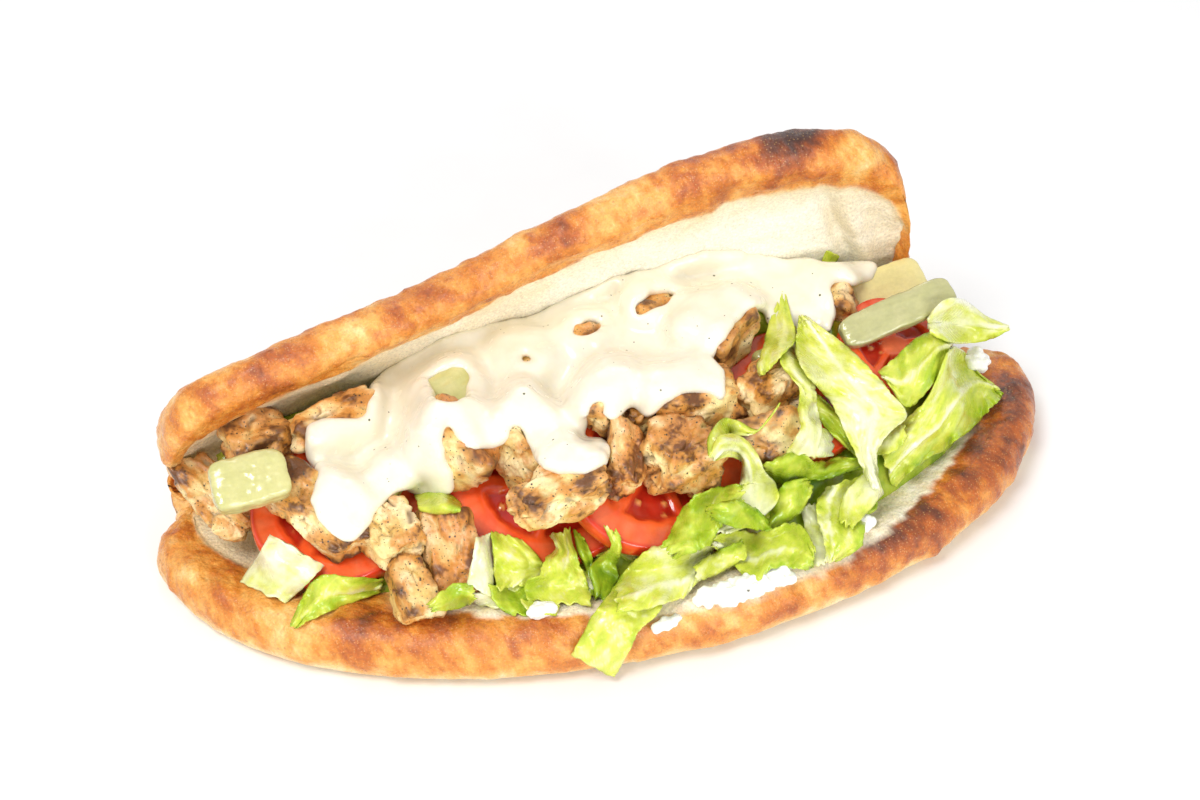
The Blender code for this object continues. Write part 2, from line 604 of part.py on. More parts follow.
def core_mesh(bread_tree, above):
    """Mound of shredded salad that carries everything else."""
    def front(x):
        reach = lerp(60.0, 67.0, smooth((x + 52.0) / 12.0))
        return 3.0 - reach * math.sqrt(max(0.0, 1.0 - ((x - 6.0) / 124.0) ** 2))

    def back(x):
        wall = min(wall_y(bread_tree, x, z) for z in (16.0, 22.0, 30.0, 38.0, 46.0))
        return min(wall - 1.5, fold_y(x) - 1.5)

    def bottom(x, y):
        return highest_near(bread_tree, x, y, 3.0, 12.0 + 8.0) + 0.6

    def top(x, y, z0, edge, rear):
        if edge:
            return z0 + 1.5
        ledge = smooth((x + 50.0) / 8.0) * smooth((-40.0 - y) / 10.0)
        right = smooth((x - 48.0) / 15.0) * smooth((-16.0 - y) / 12.0)
        leafy = max(ledge, right, smooth((x - 102.0) / 6.0))
        z = heap_height(x, y) - lerp(12.0, lerp(5.0, -1.0, smooth((x + 5.0) / 15.0)), leafy)
        for k in range(17):
            a = k * math.pi / 4.0
            r = (0.0, 4.0, 8.0)[(k + 7) // 8]
            hit = above.ray_cast(Vector((x + r * math.cos(a), y + r * math.sin(a), 8.0)),
                                 Vector((0.0, 0.0, 1.0)))
            if hit[0] is not None:
                z = min(z, hit[0].z - 0.6)
        return max(z0 + 1.2, z)

    return band_slab(-102.0, 115.0, 21, 9, front, back, bottom, top)


def sauce_mesh(under, bread_tree):
    def front(x):
        return along_pairs(SAUCE_FRONT, x)

    def back(x):
        wall = min(wall_y(bread_tree, x, z) for z in (40.0, 46.0, 52.0, 58.0, 64.0, 70.0))
        return min(wall - 1.5, along_pairs(SAUCE_BACK, x))

    def bottom(x, y):
        near = [highest_near(under, x, y, reach, 90.0) for reach in (2.2, 4.4, 6.6)]
        return max([z for z in near if z is not None], default=20.0) + 0.8

    def top(x, y, z0, edge, rear):
        return z0 + (1.2 if edge or rear else 3.2 + 1.2 * rough((x, y, 0.0), 7, 9.0))

    return band_slab(-92.0, 88.0, 38, 8, front, back, bottom, top, SAUCE_HOLES)


def join_once(name, meshes, home, helpers, shift, solver):
    """Union of the first mesh with all the others, each moved a little sideways."""
    group = bpy.data.collections.new(name + "_parts")
    helpers.children.link(group)
    objects = []
    for k, mesh in enumerate(meshes):
        data = bpy.data.meshes.new(f"{name}_part_{k}")
        mesh.to_mesh(data)
        obj = bpy.data.objects.new(f"{name}_part_{k}", data)
        obj.location = (shift * math.sin(2.4 * k), shift * math.cos(2.4 * k), 0.0)
        (group if k else home).objects.link(obj)
        objects.append(obj)
    objects[0].location = (0.0, 0.0, 0.0)
    union = objects[0].modifiers.new("join", "BOOLEAN")
    union.operation = "UNION"
    union.operand_type = "COLLECTION"
    union.collection = group
    union.solver = solver
    bpy.context.view_layer.update()
    joined = bmesh.new()
    seen = objects[0].evaluated_get(bpy.context.evaluated_depsgraph_get())
    joined.from_mesh(seen.to_mesh())
    seen.to_mesh_clear()
    for obj in objects:
        bpy.data.objects.remove(obj, do_unlink=True)
    bpy.data.collections.remove(group)
    bmesh.ops.triangulate(joined, faces=joined.faces)
    drop_flaps(joined)
    keep_biggest(joined)
    return joined


def join_solids(name, meshes, home, helpers):
    """One solid from several; the shift grows until every edge has two faces."""
    for k in range(12):
        joined = join_once(name, meshes, home, helpers, 0.04 * (k // 2), ("EXACT", "MANIFOLD")[k % 2])
        open_edges = [e for e in joined.edges if len(e.link_faces) != 2]
        if not open_edges:
            break
    for mesh in meshes:
        mesh.free()
    return joined


def drop_flaps(mesh):
    """Removes pairs of triangles that lie back to back on the same three points."""
    for _ in range(4):
        seen = {}
        for face in mesh.faces:
            seen.setdefault(frozenset(face.verts), []).append(face)
        doubled = [face for faces in seen.values() if len(faces) > 1 for face in faces]
        if not doubled:
            break
        bmesh.ops.delete(mesh, geom=doubled, context="FACES_ONLY")
    bmesh.ops.delete(mesh, geom=[e for e in mesh.edges if not e.link_faces], context="EDGES")
    bmesh.ops.delete(mesh, geom=[v for v in mesh.verts if not v.link_faces], context="VERTS")


def keep_biggest(mesh):
    """Drops loose scraps that the join has left."""
    left = set(mesh.verts)
    islands = []
    while left:
        stack = [left.pop()]
        island = set(stack)
        while stack:
            v = stack.pop()
            for e in v.link_edges:
                other = e.other_vert(v)
                if other in left:
                    left.discard(other)
                    island.add(other)
                    stack.append(other)
        islands.append(island)
    islands.sort(key=len)
    for island in islands[:-1]:
        bmesh.ops.delete(mesh, geom=list(island), context="VERTS")


def make_object(name, mesh, home, material, smooth_deg=50.0):
    """Turns a bmesh in millimetres into a named object in metres."""
    bmesh.ops.scale(mesh, vec=(MM, MM, MM), verts=mesh.verts)
    data = bpy.data.meshes.new(name)
    mesh.to_mesh(data)
    mesh.free()
    data.materials.append(material)
    obj = bpy.data.objects.new(name, data)
    home.objects.link(obj)
    data.shade_smooth()
    data.set_sharp_from_angle(angle=math.radians(smooth_deg))
    return obj


def make_material(name, colour, roughness):
    material = bpy.data.materials.new(name)
    material.use_nodes = True
    shader = material.node_tree.nodes["Principled BSDF"]
    shader.inputs["Base Color"].default_value = (*colour, 1.0)
    shader.inputs["Roughness"].default_value = roughness
    shader.inputs["Metallic"].default_value = 0.0
    return material


def clear_scene():
    for obj in list(bpy.data.objects):
        bpy.data.objects.remove(obj, do_unlink=True)
    for mesh in list(bpy.data.meshes):
        bpy.data.meshes.remove(mesh)


def main():
    clear_scene()
    scene = bpy.context.scene
    home = bpy.data.collections.new("doner_kebab_sandwich")
    helpers = bpy.data.collections.new("cutters")
    scene.collection.children.link(home)
    scene.collection.children.link(helpers)
    helpers.hide_render = True
    crust = make_material("crust", (0.62, 0.33, 0.12), 0.6)
    meat = make_material("meat", (0.55, 0.32, 0.16), 0.6)
    fruit = make_material("tomato", (0.70, 0.08, 0.03), 0.3)
    green = make_material("lettuce", (0.45, 0.60, 0.12), 0.45)
    brined = make_material("pickle", (0.52, 0.52, 0.28), 0.35)
    cream = make_material("sauce", (0.88, 0.83, 0.70), 0.35)
    white = make_material("curd", (0.93, 0.92, 0.88), 0.7)

    bread = bread_mesh()
    bread_tree = merged_tree([bread])
    slices = []
    for name, x, y, z, radius, front, side in TOMATOES:
        slices.append((name, place(tomato(radius), x, y, z, 0.0, front, side)))
    pieces = []
    for name, x, y, z, length, width, height, turn, slope, seed in CHICKEN:
        cuts = 2 if "wall" in name or "small" in name else 3
        pieces.append((name,
                       place(chunk(length, width, height, seed, cuts), x, y, z, turn, slope, 0.0), meat))
    for name, x, y, z, length, width, thick, turn, front, side in PICKLES:
        pieces.append((name, place(pickle_piece(length, width, thick), x, y, z, turn, front, side), brined))
    still = [bread] + [mesh for _, mesh in slices]
    spread_apart([mesh for _, mesh, _ in pieces], still)
    placed = still + [mesh for _, mesh, _ in pieces]
    core = core_mesh(bread_tree, merged_tree(placed[1:]))
    placed.insert(1, core)

    sauce = sauce_mesh(merged_tree(placed[1:]), bread_tree)
    placed.append(sauce)

    curds = []
    for name, x, y, z, length, width, height, turn, seed in CURDS:
        mesh = place(chunk(length, width, height, seed, 2), x, y, z + 10.0, turn, 0.0, 0.0)
        settle(mesh, placed)
        placed.append(mesh)
        curds.append((name, mesh))

    leaves = []
    for name, line, widths, roll, ruffle, seed in LOOSE_LEAVES:
        mesh = leaf_sheet(line, widths, roll, ruffle, seed)
        if "tip" not in name:
            drape(mesh, merged_tree(placed), 0.5 * LEAF_THICK + 0.9)
        mesh = thicken(mesh, LEAF_THICK)
        placed.append(mesh)
        leaves.append((name, mesh))
    toppings = merged_tree([m for m in placed if m is not core])
    heap = [core]
    core_tree = merged_tree([core])
    for line, widths, roll, ruffle, seed in HEAP_LEAVES:
        root = Vector(line[0])
        while height_at(core_tree, root.x, root.y - 1.5) is None:
            root.y += 1.0
        core_z = height_at(core_tree, root.x, root.y)
        line = ((root.x, root.y, core_z - 2.0),) + line[1:]
        mesh = leaf_sheet(line, widths, roll, ruffle, seed)
        drape(mesh, toppings, 0.5 * LEAF_THICK + 0.9)
        heap.append(thicken(mesh, LEAF_THICK))
    lettuce = join_solids("lettuce_heap", heap, home, helpers)

    make_object("bread", bread, home, crust)
    make_object("lettuce_heap", lettuce, home, green)
    for name, mesh in slices:
        make_object(name, mesh, home, fruit)
    for name, mesh, material in pieces:
        make_object(name, mesh, home, material)
    make_object("sauce", sauce, home, cream)
    for name, mesh in curds:
        make_object(name, mesh, home, white)
    for name, mesh in leaves:
        make_object(name, mesh, home, green)


main()
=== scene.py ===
# Looks of the filled flatbread: fine bread, meat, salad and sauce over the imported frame.
import math

import bmesh
import bpy
import numpy as np
from mathutils import Matrix, Vector
from mathutils.bvhtree import BVHTree


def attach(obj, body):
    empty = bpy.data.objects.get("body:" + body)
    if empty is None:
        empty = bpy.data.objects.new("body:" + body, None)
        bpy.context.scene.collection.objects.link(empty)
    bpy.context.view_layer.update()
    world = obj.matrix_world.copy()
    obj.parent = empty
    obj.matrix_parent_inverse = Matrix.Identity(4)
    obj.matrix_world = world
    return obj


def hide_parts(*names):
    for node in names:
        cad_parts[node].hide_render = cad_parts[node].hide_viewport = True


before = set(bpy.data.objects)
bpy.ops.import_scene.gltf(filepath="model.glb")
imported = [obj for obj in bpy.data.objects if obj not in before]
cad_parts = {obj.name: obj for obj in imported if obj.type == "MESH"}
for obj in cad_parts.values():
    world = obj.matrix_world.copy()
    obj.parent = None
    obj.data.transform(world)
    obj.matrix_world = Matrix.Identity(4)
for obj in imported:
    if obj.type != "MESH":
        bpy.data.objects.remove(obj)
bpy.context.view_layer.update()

MM = 0.001

# Camera of the photograph
CAM_TURN_DEG = -18.5
CAM_RISE_DEG = 40.0
CAM_DIST_MM = 730.0
CAM_LENS = 70.0
CAM_SENSOR = 36.0
PHOTO_WIDE = 1200
PHOTO_HIGH = 800
ORIGIN_PIXEL = (590.0, 480.0)
PX_MM = 0.31

# Bread, the same named sizes as its solid
BREAD_MID_X = 5.0
BREAD_HALF_LENGTH = 136.0
BREAD_FRONT_REACH = 77.0
BREAD_TIP_Y = 2.0
FLOOR_HALF_THICK = 6.0
RIM_HALF_THICK = 9.0
END_HALF_THICK = 6.6
RIM_BAND = 15.0
FOLD_LEFT_X = -121.0
FOLD_RIGHT_X = 117.0
FOLD_END_Y = 12.0
FOLD_BOW = 8.0
FOLD_BOW_SPAN = 135.0
FOLD_END_RADIUS = 7.5
FOLD_EXTRA_RADIUS = 5.5
FOLD_RADIUS_SPAN = 130.0
TOP_LEFT_X = -127.0
TOP_RIGHT_X = 109.0
TOP_LEFT_HEIGHT = 51.5
TOP_RIGHT_HEIGHT = 83.5
TOP_RISE_FROM_X = -72.0
TOP_RISE_SPAN = 165.0
TOP_SQUARENESS = 5.5
TOP_LEAN_DEG = 75.0
TOP_TWIST_DEG_PER_MM = 0.06
TOP_RIM_HALF_THICK = 7.2
TOP_DOME = 4.5
BREAD_ROWS = 300
FLOOR_STEPS = 58
FOLD_STEPS = 24
TOP_STEPS = 58
CAP_STEPS = 13
END_STEPS = 8
STEP_SQUEEZE = 1.35
EDGE_SKIP = 17.0
BIG_BLISTER_MM = 11.0
SMALL_BLISTER_MM = 4.6
CHAR_SPACING_MM = 30.0


# Small helpers

def smooth(t):
    t = np.clip(t, 0.0, 1.0)
    return t * t * (3.0 - 2.0 * t)


def step(low, high, v):
    return smooth((v - low) / (high - low))


def lerp(a, b, t):
    return a + (b - a) * t


def linear(r, g, b):
    """Screen colour in 0 to 255 as linear light."""
    c = np.array([r, g, b], float) / 255.0
    return np.where(c <= 0.04045, c / 12.92, ((c + 0.055) / 1.055) ** 2.4)


def mix(a, b, t):
    t = np.asarray(t)[..., None]
    return a * (1.0 - t) + b * t


def shade(dark, light, tone):
    """Blend of two screen colours, half way between them where the tone is zero."""
    return mix(linear(*dark), linear(*light), np.clip(0.5 + tone, 0.0, 1.0))


def ramp(stops, t):
    """Colour along a list of (place, colour) stops."""
    places = [s[0] for s in stops]
    cols = np.array([s[1] for s in stops])
    return np.stack([np.interp(t, places, cols[:, k]) for k in range(3)], axis=-1)


def hashed(ix, iy, iz, seed):
    h = (ix * 73856093) ^ (iy * 19349663) ^ (iz * 83492791) ^ (int(seed) * 26543761 + 977)
    h = (h ^ (h >> 13)) * 1274126177
    h = (h ^ (h >> 16)) * 668265263
    h = h ^ (h >> 15)
    return h & 0x7FFFFFFF


def unit(h):
    return (h % 100003) / 100003.0


def perlin(p, seed=0):
    """Smooth noise from about -1 to 1 at the points p."""
    p = np.asarray(p, float)
    i = np.floor(p).astype(np.int64)
    f = p - i
    u = f * f * f * (f * (f * 6.0 - 15.0) + 10.0)
    total = np.zeros(p.shape[:-1])
    for dx in (0, 1):
        for dy in (0, 1):
            for dz in (0, 1):
                h = hashed(i[..., 0] + dx, i[..., 1] + dy, i[..., 2] + dz, seed)
                a = unit(h) * 2.0 * math.pi
                z = unit(h >> 7) * 2.0 - 1.0
                r = np.sqrt(1.0 - z * z)
                dot = (f[..., 0] - dx) * r * np.cos(a) + (f[..., 1] - dy) * r * np.sin(a)
                dot += (f[..., 2] - dz) * z
                w = (u[..., 0] if dx else 1.0 - u[..., 0])
                w = w * (u[..., 1] if dy else 1.0 - u[..., 1])
                w = w * (u[..., 2] if dz else 1.0 - u[..., 2])
                total += w * dot
    return total * 1.6


def fbm(p, seed=0, octaves=3, gain=0.5):
    p = np.asarray(p, float)
    total = np.zeros(p.shape[:-1])
    size = 1.0
    norm = 0.0
    for k in range(octaves):
        total += size * perlin(p * 2.03 ** k + 7.3 * k, seed + 31 * k)
        norm += size
        size *= gain
    return total / norm


def stacked(*parts):
    """Points from their coordinates, each an array or a number."""
    return np.stack(np.broadcast_arrays(*parts), -1)


def thin_lines(way, width):
    """A thin line at each whole number of the way."""
    return np.exp(-((way - np.round(way)) / width) ** 2)


def jitter(points, size, seed):
    """Noise vector for each point."""
    return np.stack([perlin(points / size, seed + k) for k in range(3)], -1)


def cells(p, seed=0):
    """Distance to the nearest and second nearest scattered point, and a number for the nearest cell."""
    p = np.asarray(p, float)
    i = np.floor(p).astype(np.int64)
    best = np.full(p.shape[:-1], 9.0)
    second = np.full(p.shape[:-1], 9.0)
    owner = np.zeros(p.shape[:-1])
    for dx in (-1, 0, 1):
        for dy in (-1, 0, 1):
            for dz in (-1, 0, 1):
                cx, cy, cz = i[..., 0] + dx, i[..., 1] + dy, i[..., 2] + dz
                h = hashed(cx, cy, cz, seed)
                qx = cx + unit(h)
                qy = cy + unit(h >> 5)
                qz = cz + unit(h >> 11)
                d = np.sqrt((p[..., 0] - qx) ** 2 + (p[..., 1] - qy) ** 2 + (p[..., 2] - qz) ** 2)
                closer = d < best
                second = np.where(closer, best, np.minimum(second, d))
                owner = np.where(closer, unit(h >> 3), owner)
                best = np.where(closer, d, best)
    return best, second, owner


def vertex_normals(points, faces):
    """Unit normals of a mesh given as arrays; faces all have the same number of corners."""
    a, b, c = (points[faces[:, k]] for k in (0, 1, 2))
    n = np.cross(b - a, c - a)
    if faces.shape[1] == 4:
        d = points[faces[:, 3]]
        n = n + np.cross(c - a, d - a)
    out = np.zeros_like(points)
    for k in range(faces.shape[1]):
        np.add.at(out, faces[:, k], n)
    return out / np.maximum(1e-12, np.linalg.norm(out, axis=1))[:, None]


def outward_normals(points, faces, middle=0.0):
    """Unit normals that point away from the middle, and whether the faces are wound the other way."""
    normal = vertex_normals(points, faces)
    inverted = np.mean(np.sum(normal * (points - middle), axis=1)) < 0.0
    return (-normal if inverted else normal), inverted


def ring_index(rows, cols):
    """Numbers of the points of stacked rings, and of the next point in each ring."""
    base = np.arange(rows * cols).reshape(rows, cols)
    return base, np.roll(base, -1, axis=1)


def sheet_faces(rows, cols):
    """Quads of the upper side, lower side and rim of a sheet that has rows by cols points on each side."""
    base = np.arange(rows * cols).reshape(rows, cols)
    top = stacked(base[:-1, :-1], base[1:, :-1], base[1:, 1:], base[:-1, 1:]).reshape(-1, 4)
    low = top[:, ::-1] + rows * cols
    loop = np.concatenate([base[:, 0], base[-1, 1:], base[::-1, -1][1:], base[0, ::-1][1:-1]])
    nxt = np.roll(loop, -1)
    rim = stacked(nxt, loop, loop + rows * cols, nxt + rows * cols)
    return np.concatenate([top, low, rim])


def plain_faces(faces):
    if isinstance(faces, np.ndarray):
        return faces.tolist()
    return [tuple(int(v) for v in f) for f in faces]


def joined(pieces):
    """Points and faces of several pieces as one."""
    points, faces = [], []
    for p, f in pieces:
        faces += (np.asarray(f) + len(points)).tolist()
        points += p.tolist()
    return points, faces


def add_piece(name, points, faces, material, nodes, paint, masks=None):
    """Mesh piece from points in millimetres, riding on the frame's one body."""
    data = bpy.data.meshes.new(name)
    data.from_pydata((np.asarray(points) * MM).tolist(), [], plain_faces(faces))
    layer = data.attributes.new("paint", "FLOAT_COLOR", "POINT")
    full = np.ones((len(points), 4))
    full[:, :3] = np.clip(paint, 0.0, 1.0)
    layer.data.foreach_set("color", full.astype(np.float32).ravel())
    for key, values in (masks or {}).items():
        layer = data.attributes.new(key, "FLOAT", "POINT")
        layer.data.foreach_set("value", np.asarray(values, np.float32).ravel())
    data.materials.append(material)
    data.shade_smooth()
    obj = bpy.data.objects.new(name, data)
    bpy.context.scene.collection.objects.link(obj)
    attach(obj, "root")
    if nodes:
        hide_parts(*nodes)
    return obj


def tree_of(points, faces):
    return BVHTree.FromPolygons(np.asarray(points).tolist(), plain_faces(faces))


def node_arrays(name):
    """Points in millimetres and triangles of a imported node."""
    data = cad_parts[name].data
    points = np.zeros(len(data.vertices) * 3)
    data.vertices.foreach_get("co", points)
    data.calc_loop_triangles()
    tris = np.zeros(len(data.loop_triangles) * 3, np.int32)
    data.loop_triangles.foreach_get("vertices", tris)
    return points.reshape(-1, 3) / MM, tris.reshape(-1, 3)


def own_axes(points):
    """Middle, axes (long first) and half sizes of a lump."""
    mid = 0.5 * (points.min(0) + points.max(0))
    _, _, axes = np.linalg.svd(points - points.mean(0), full_matrices=False)
    for k in range(2):
        if axes[k][np.argmax(np.abs(axes[k]))] < 0.0:
            axes[k] = -axes[k]
    axes[2] = np.cross(axes[0], axes[1])
    local = (points - mid) @ axes.T
    low, high = local.min(0), local.max(0)
    return mid + 0.5 * (low + high) @ axes, axes, 0.5 * (high - low)


def icosphere(level):
    mesh = bmesh.new()
    bmesh.ops.create_icosphere(mesh, subdivisions=level, radius=1.0)
    mesh.verts.index_update()
    points = np.array([v.co[:] for v in mesh.verts])
    faces = np.array([[v.index for v in f.verts] for f in mesh.faces])
    mesh.free()
    return points / np.linalg.norm(points, axis=1)[:, None], faces


SPHERES = {level: icosphere(level) for level in (2, 5, 6)}


# Camera

def camera_axes():
    a, e = math.radians(CAM_TURN_DEG), math.radians(CAM_RISE_DEG)
    back = Vector((math.sin(a) * math.cos(e), -math.cos(a) * math.cos(e), math.sin(e)))
    right = Vector((math.cos(a), math.sin(a), 0.0))
    return right, back.cross(right), back


CAM_RIGHT, CAM_UP, CAM_BACK = camera_axes()
CAM_K = PHOTO_WIDE * CAM_LENS / CAM_SENSOR
CAM_AT = (
    CAM_BACK * CAM_DIST_MM
    - CAM_RIGHT * ((ORIGIN_PIXEL[0] - PHOTO_WIDE / 2) / CAM_K * CAM_DIST_MM)
    + CAM_UP * ((ORIGIN_PIXEL[1] - PHOTO_HIGH / 2) / CAM_K * CAM_DIST_MM)
)


def pixel_ray(px, py):
    way = -CAM_BACK + CAM_RIGHT * ((px - PHOTO_WIDE / 2) / CAM_K) - CAM_UP * ((py - PHOTO_HIGH / 2) / CAM_K)
    return CAM_AT, way.normalized()


def to_pixels(points):
    v = np.asarray(points, float) - np.array(CAM_AT)
    depth = -(v @ np.array(CAM_BACK))
    x = PHOTO_WIDE / 2 + CAM_K * (v @ np.array(CAM_RIGHT)) / depth
    y = PHOTO_HIGH / 2 - CAM_K * (v @ np.array(CAM_UP)) / depth
    return x, y


def inside(px, py, outline):
    """Whether points lie in a closed outline, all in pixels."""
    px, py = np.asarray(px, float), np.asarray(py, float)
    odd = np.zeros(px.shape, bool)
    for (x0, y0), (x1, y1) in zip(outline, outline[1:] + outline[:1]):
        if y0 == y1:
            continue
        cross = (y0 > py) != (y1 > py)
        odd ^= cross & (px < (x1 - x0) * (py - y0) / (y1 - y0) + x0)
    return odd


# Materials

def node(tree, kind, **inputs):
    n = tree.nodes.new(kind)
    for key, value in inputs.items():
        name = key.replace("_", " ")
        if name in n.inputs:
            n.inputs[name].default_value = value
        else:
            setattr(n, key, value)
    return n


def linked(tree, kind, sources, **inputs):
    """Node whose named or numbered inputs are fed by the given outputs."""
    n = node(tree, kind, **inputs)
    for place, source in sources.items():
        tree.links.new(source, n.inputs[place])
    return n


def ranged(tree, source, from_low, from_high, to_low=0.0, to_high=1.0):
    """Value carried over from one range to another."""
    n = node(tree, "ShaderNodeMapRange", From_Min=from_low, From_Max=from_high, To_Min=to_low, To_Max=to_high)
    tree.links.new(source, n.inputs["Value"])
    return n.outputs["Result"]


def maths(tree, operation, *values):
    """Sum worked out by a node from numbers and the outputs of other nodes."""
    n = node(tree, "ShaderNodeMath", operation=operation)
    for place, value in zip(n.inputs, values):
        if isinstance(value, float):
            place.default_value = value
        else:
            tree.links.new(value, place)
    return n.outputs["Value"]


NOISE_LOW = 0.3
NOISE_HIGH = 0.7
FLECKS_ON_CRUST = 0.38
SCATTER_M = 0.002
LEAST_ROUGH = 0.03


def painted_material(name, rough, speck, speck_size, bump, bump_size, bump_mm, rough_spread, subsurface,
                     radius, coat, coat_rough, flecks=(), second_bump=0.0, second_size=0.0, dry=None,
                     dry_rough=0.0):
    """Surface coloured by the piece's own paint layer, broken up by fine noise, with relief from noise."""
    mat = bpy.data.materials.new(name)
    mat.use_nodes = True
    tree = mat.node_tree
    shader = tree.nodes["Principled BSDF"]
    place = {"Vector": tree.nodes.new("ShaderNodeTexCoord").outputs["Object"]}
    paint = node(tree, "ShaderNodeAttribute", attribute_name="paint")
    grain = linked(tree, "ShaderNodeTexNoise", place, Scale=speck_size, Detail=4.0, Roughness=0.6)
    spread = ranged(tree, grain.outputs["Fac"], NOISE_LOW, NOISE_HIGH, 1.0 - speck, 1.0 + speck)
    painted = {0: paint.outputs["Color"], "Scale": spread}
    tint = linked(tree, "ShaderNodeVectorMath", painted, operation="SCALE")
    colour = tint.outputs["Vector"]
    if dry:
        dryness = node(tree, "ShaderNodeAttribute", attribute_name=dry).outputs["Fac"]
    for size, share, width, dark in flecks:
        dots = linked(tree, "ShaderNodeTexVoronoi", place, Scale=size, Randomness=1.0)
        near = ranged(tree, dots.outputs["Distance"], width, width * 0.5)
        split = linked(tree, "ShaderNodeSeparateColor", {"Color": dots.outputs["Color"]})
        seen = maths(tree, "MULTIPLY", near, maths(tree, "LESS_THAN", split.outputs["Red"], share))
        if dry:
            wet = maths(tree, "MULTIPLY_ADD", dryness, -FLECKS_ON_CRUST, FLECKS_ON_CRUST)
            seen = maths(tree, "MULTIPLY", seen, wet)
        blend = linked(tree, "ShaderNodeMix", {"Factor": seen}, data_type="RGBA")
        tree.links.new(colour, blend.inputs[6])
        blend.inputs[7].default_value = (*dark, 1.0)
        colour = blend.outputs[2]
    tree.links.new(colour, shader.inputs["Base Color"])
    wear = linked(tree, "ShaderNodeTexNoise", place, Scale=speck_size * 0.35, Detail=3.0)
    finish = ranged(tree, wear.outputs["Fac"], NOISE_LOW, NOISE_HIGH, max(LEAST_ROUGH, rough - rough_spread),
                    min(1.0, rough + rough_spread))
    if dry:
        matt = linked(tree, "ShaderNodeMix", {"Factor": dryness}, data_type="FLOAT")
        tree.links.new(finish, matt.inputs[2])
        matt.inputs[3].default_value = dry_rough
        finish = matt.outputs[0]
    tree.links.new(finish, shader.inputs["Roughness"])
    relief = linked(tree, "ShaderNodeTexNoise", place, Scale=bump_size, Detail=5.0, Roughness=0.6)
    height = {"Height": relief.outputs["Fac"]}
    last = linked(tree, "ShaderNodeBump", height, Strength=bump, Distance=bump_mm * MM)
    if second_bump:
        pits = linked(tree, "ShaderNodeTexVoronoi", place, Scale=second_size)
        below = {"Height": pits.outputs["Distance"], "Normal": last.outputs["Normal"]}
        last = linked(tree, "ShaderNodeBump", below, Strength=second_bump, Distance=bump_mm * MM)
    tree.links.new(last.outputs["Normal"], shader.inputs["Normal"])
    looks = {"Metallic": 0.0, "Subsurface Weight": subsurface, "Subsurface Radius": radius,
             "Subsurface Scale": SCATTER_M, "Coat Weight": coat, "Coat Roughness": coat_rough}
    for key, value in looks.items():
        shader.inputs[key].default_value = value
    return mat


DARK_HERB = tuple(linear(70, 72, 38))
BLACK_PEPPER = tuple(linear(52, 44, 36))
PALE_BLISTER = tuple(linear(246, 200, 132))
DARK_BLISTER = tuple(linear(150, 84, 44))
CRUST_MAT = painted_material(
    "baked_crust", 0.34, speck=0.20, speck_size=1300.0, bump=0.9, bump_size=800.0, bump_mm=0.5,
    rough_spread=0.14, subsurface=0.04, radius=(1.0, 0.45, 0.2), coat=0.10, coat_rough=0.2,
    flecks=((1500.0, 0.35, 0.36, PALE_BLISTER), (520.0, 0.10, 0.28, DARK_BLISTER)),
    second_bump=0.3, second_size=620.0, dry="crumb", dry_rough=0.72)
MEAT_MAT = painted_material(
    "roast_meat", 0.42, speck=0.13, speck_size=1500.0, bump=0.65, bump_size=1200.0, bump_mm=0.35,
    rough_spread=0.16, subsurface=0.04, radius=(1.0, 0.55, 0.25), coat=0.2, coat_rough=0.2,
    flecks=((640.0, 0.30, 0.26, BLACK_PEPPER), (1150.0, 0.34, 0.27, DARK_HERB)))
TOMATO_MAT = painted_material(
    "tomato_flesh", 0.16, speck=0.06, speck_size=700.0, bump=0.12, bump_size=500.0, bump_mm=0.3,
    rough_spread=0.06, subsurface=0.12, radius=(1.0, 0.2, 0.1), coat=0.5, coat_rough=0.08)
PICKLE_MAT = painted_material(
    "brined_pickle", 0.2, speck=0.05, speck_size=900.0, bump=0.12, bump_size=650.0, bump_mm=0.3,
    rough_spread=0.08, subsurface=0.25, radius=(1.0, 0.9, 0.4), coat=0.5, coat_rough=0.1)
LEAF_MAT = painted_material(
    "lettuce_leaf", 0.27, speck=0.07, speck_size=800.0, bump=0.35, bump_size=420.0, bump_mm=0.4,
    rough_spread=0.1, subsurface=0.12, radius=(0.8, 1.0, 0.3), coat=0.35, coat_rough=0.12)
SAUCE_MAT = painted_material(
    "herb_sauce", 0.24, speck=0.015, speck_size=500.0, bump=0.08, bump_size=350.0, bump_mm=0.4,
    rough_spread=0.05, subsurface=0.25, radius=(1.0, 0.8, 0.5), coat=0.25, coat_rough=0.15,
    flecks=((330.0, 0.10, 0.16, DARK_HERB), (560.0, 0.06, 0.15, BLACK_PEPPER)))
CURD_MAT = painted_material(
    "white_curd", 0.55, speck=0.03, speck_size=1500.0, bump=0.5, bump_size=1600.0, bump_mm=0.3,
    rough_spread=0.08, subsurface=0.2, radius=(1.0, 0.9, 0.8), coat=0.0, coat_rough=0.1)


# Bread

def fold_y(x):
    return FOLD_END_Y + FOLD_BOW * max(0.0, 1.0 - ((x - BREAD_MID_X) / FOLD_BOW_SPAN) ** 2)


def fold_radius(x):
    return FOLD_END_RADIUS + FOLD_EXTRA_RADIUS * max(0.0, 1.0 - ((x - BREAD_MID_X) / FOLD_RADIUS_SPAN) ** 2)


def top_outline(count=900):
    mid = 0.5 * (TOP_LEFT_X + TOP_RIGHT_X)
    half = 0.5 * (TOP_RIGHT_X - TOP_LEFT_X)
    power = 2.0 / TOP_SQUARENESS
    out = []
    for i in range(count + 1):
        a = math.pi * (0.0002 + 0.9996 * i / count)
        c = math.cos(a)
        x = mid - half * math.copysign(abs(c) ** power, c)
        tall = lerp(TOP_LEFT_HEIGHT, TOP_RIGHT_HEIGHT, float(smooth((x - TOP_RISE_FROM_X) / TOP_RISE_SPAN)))
        out.append((x, tall * math.sin(a) ** power))
    return out


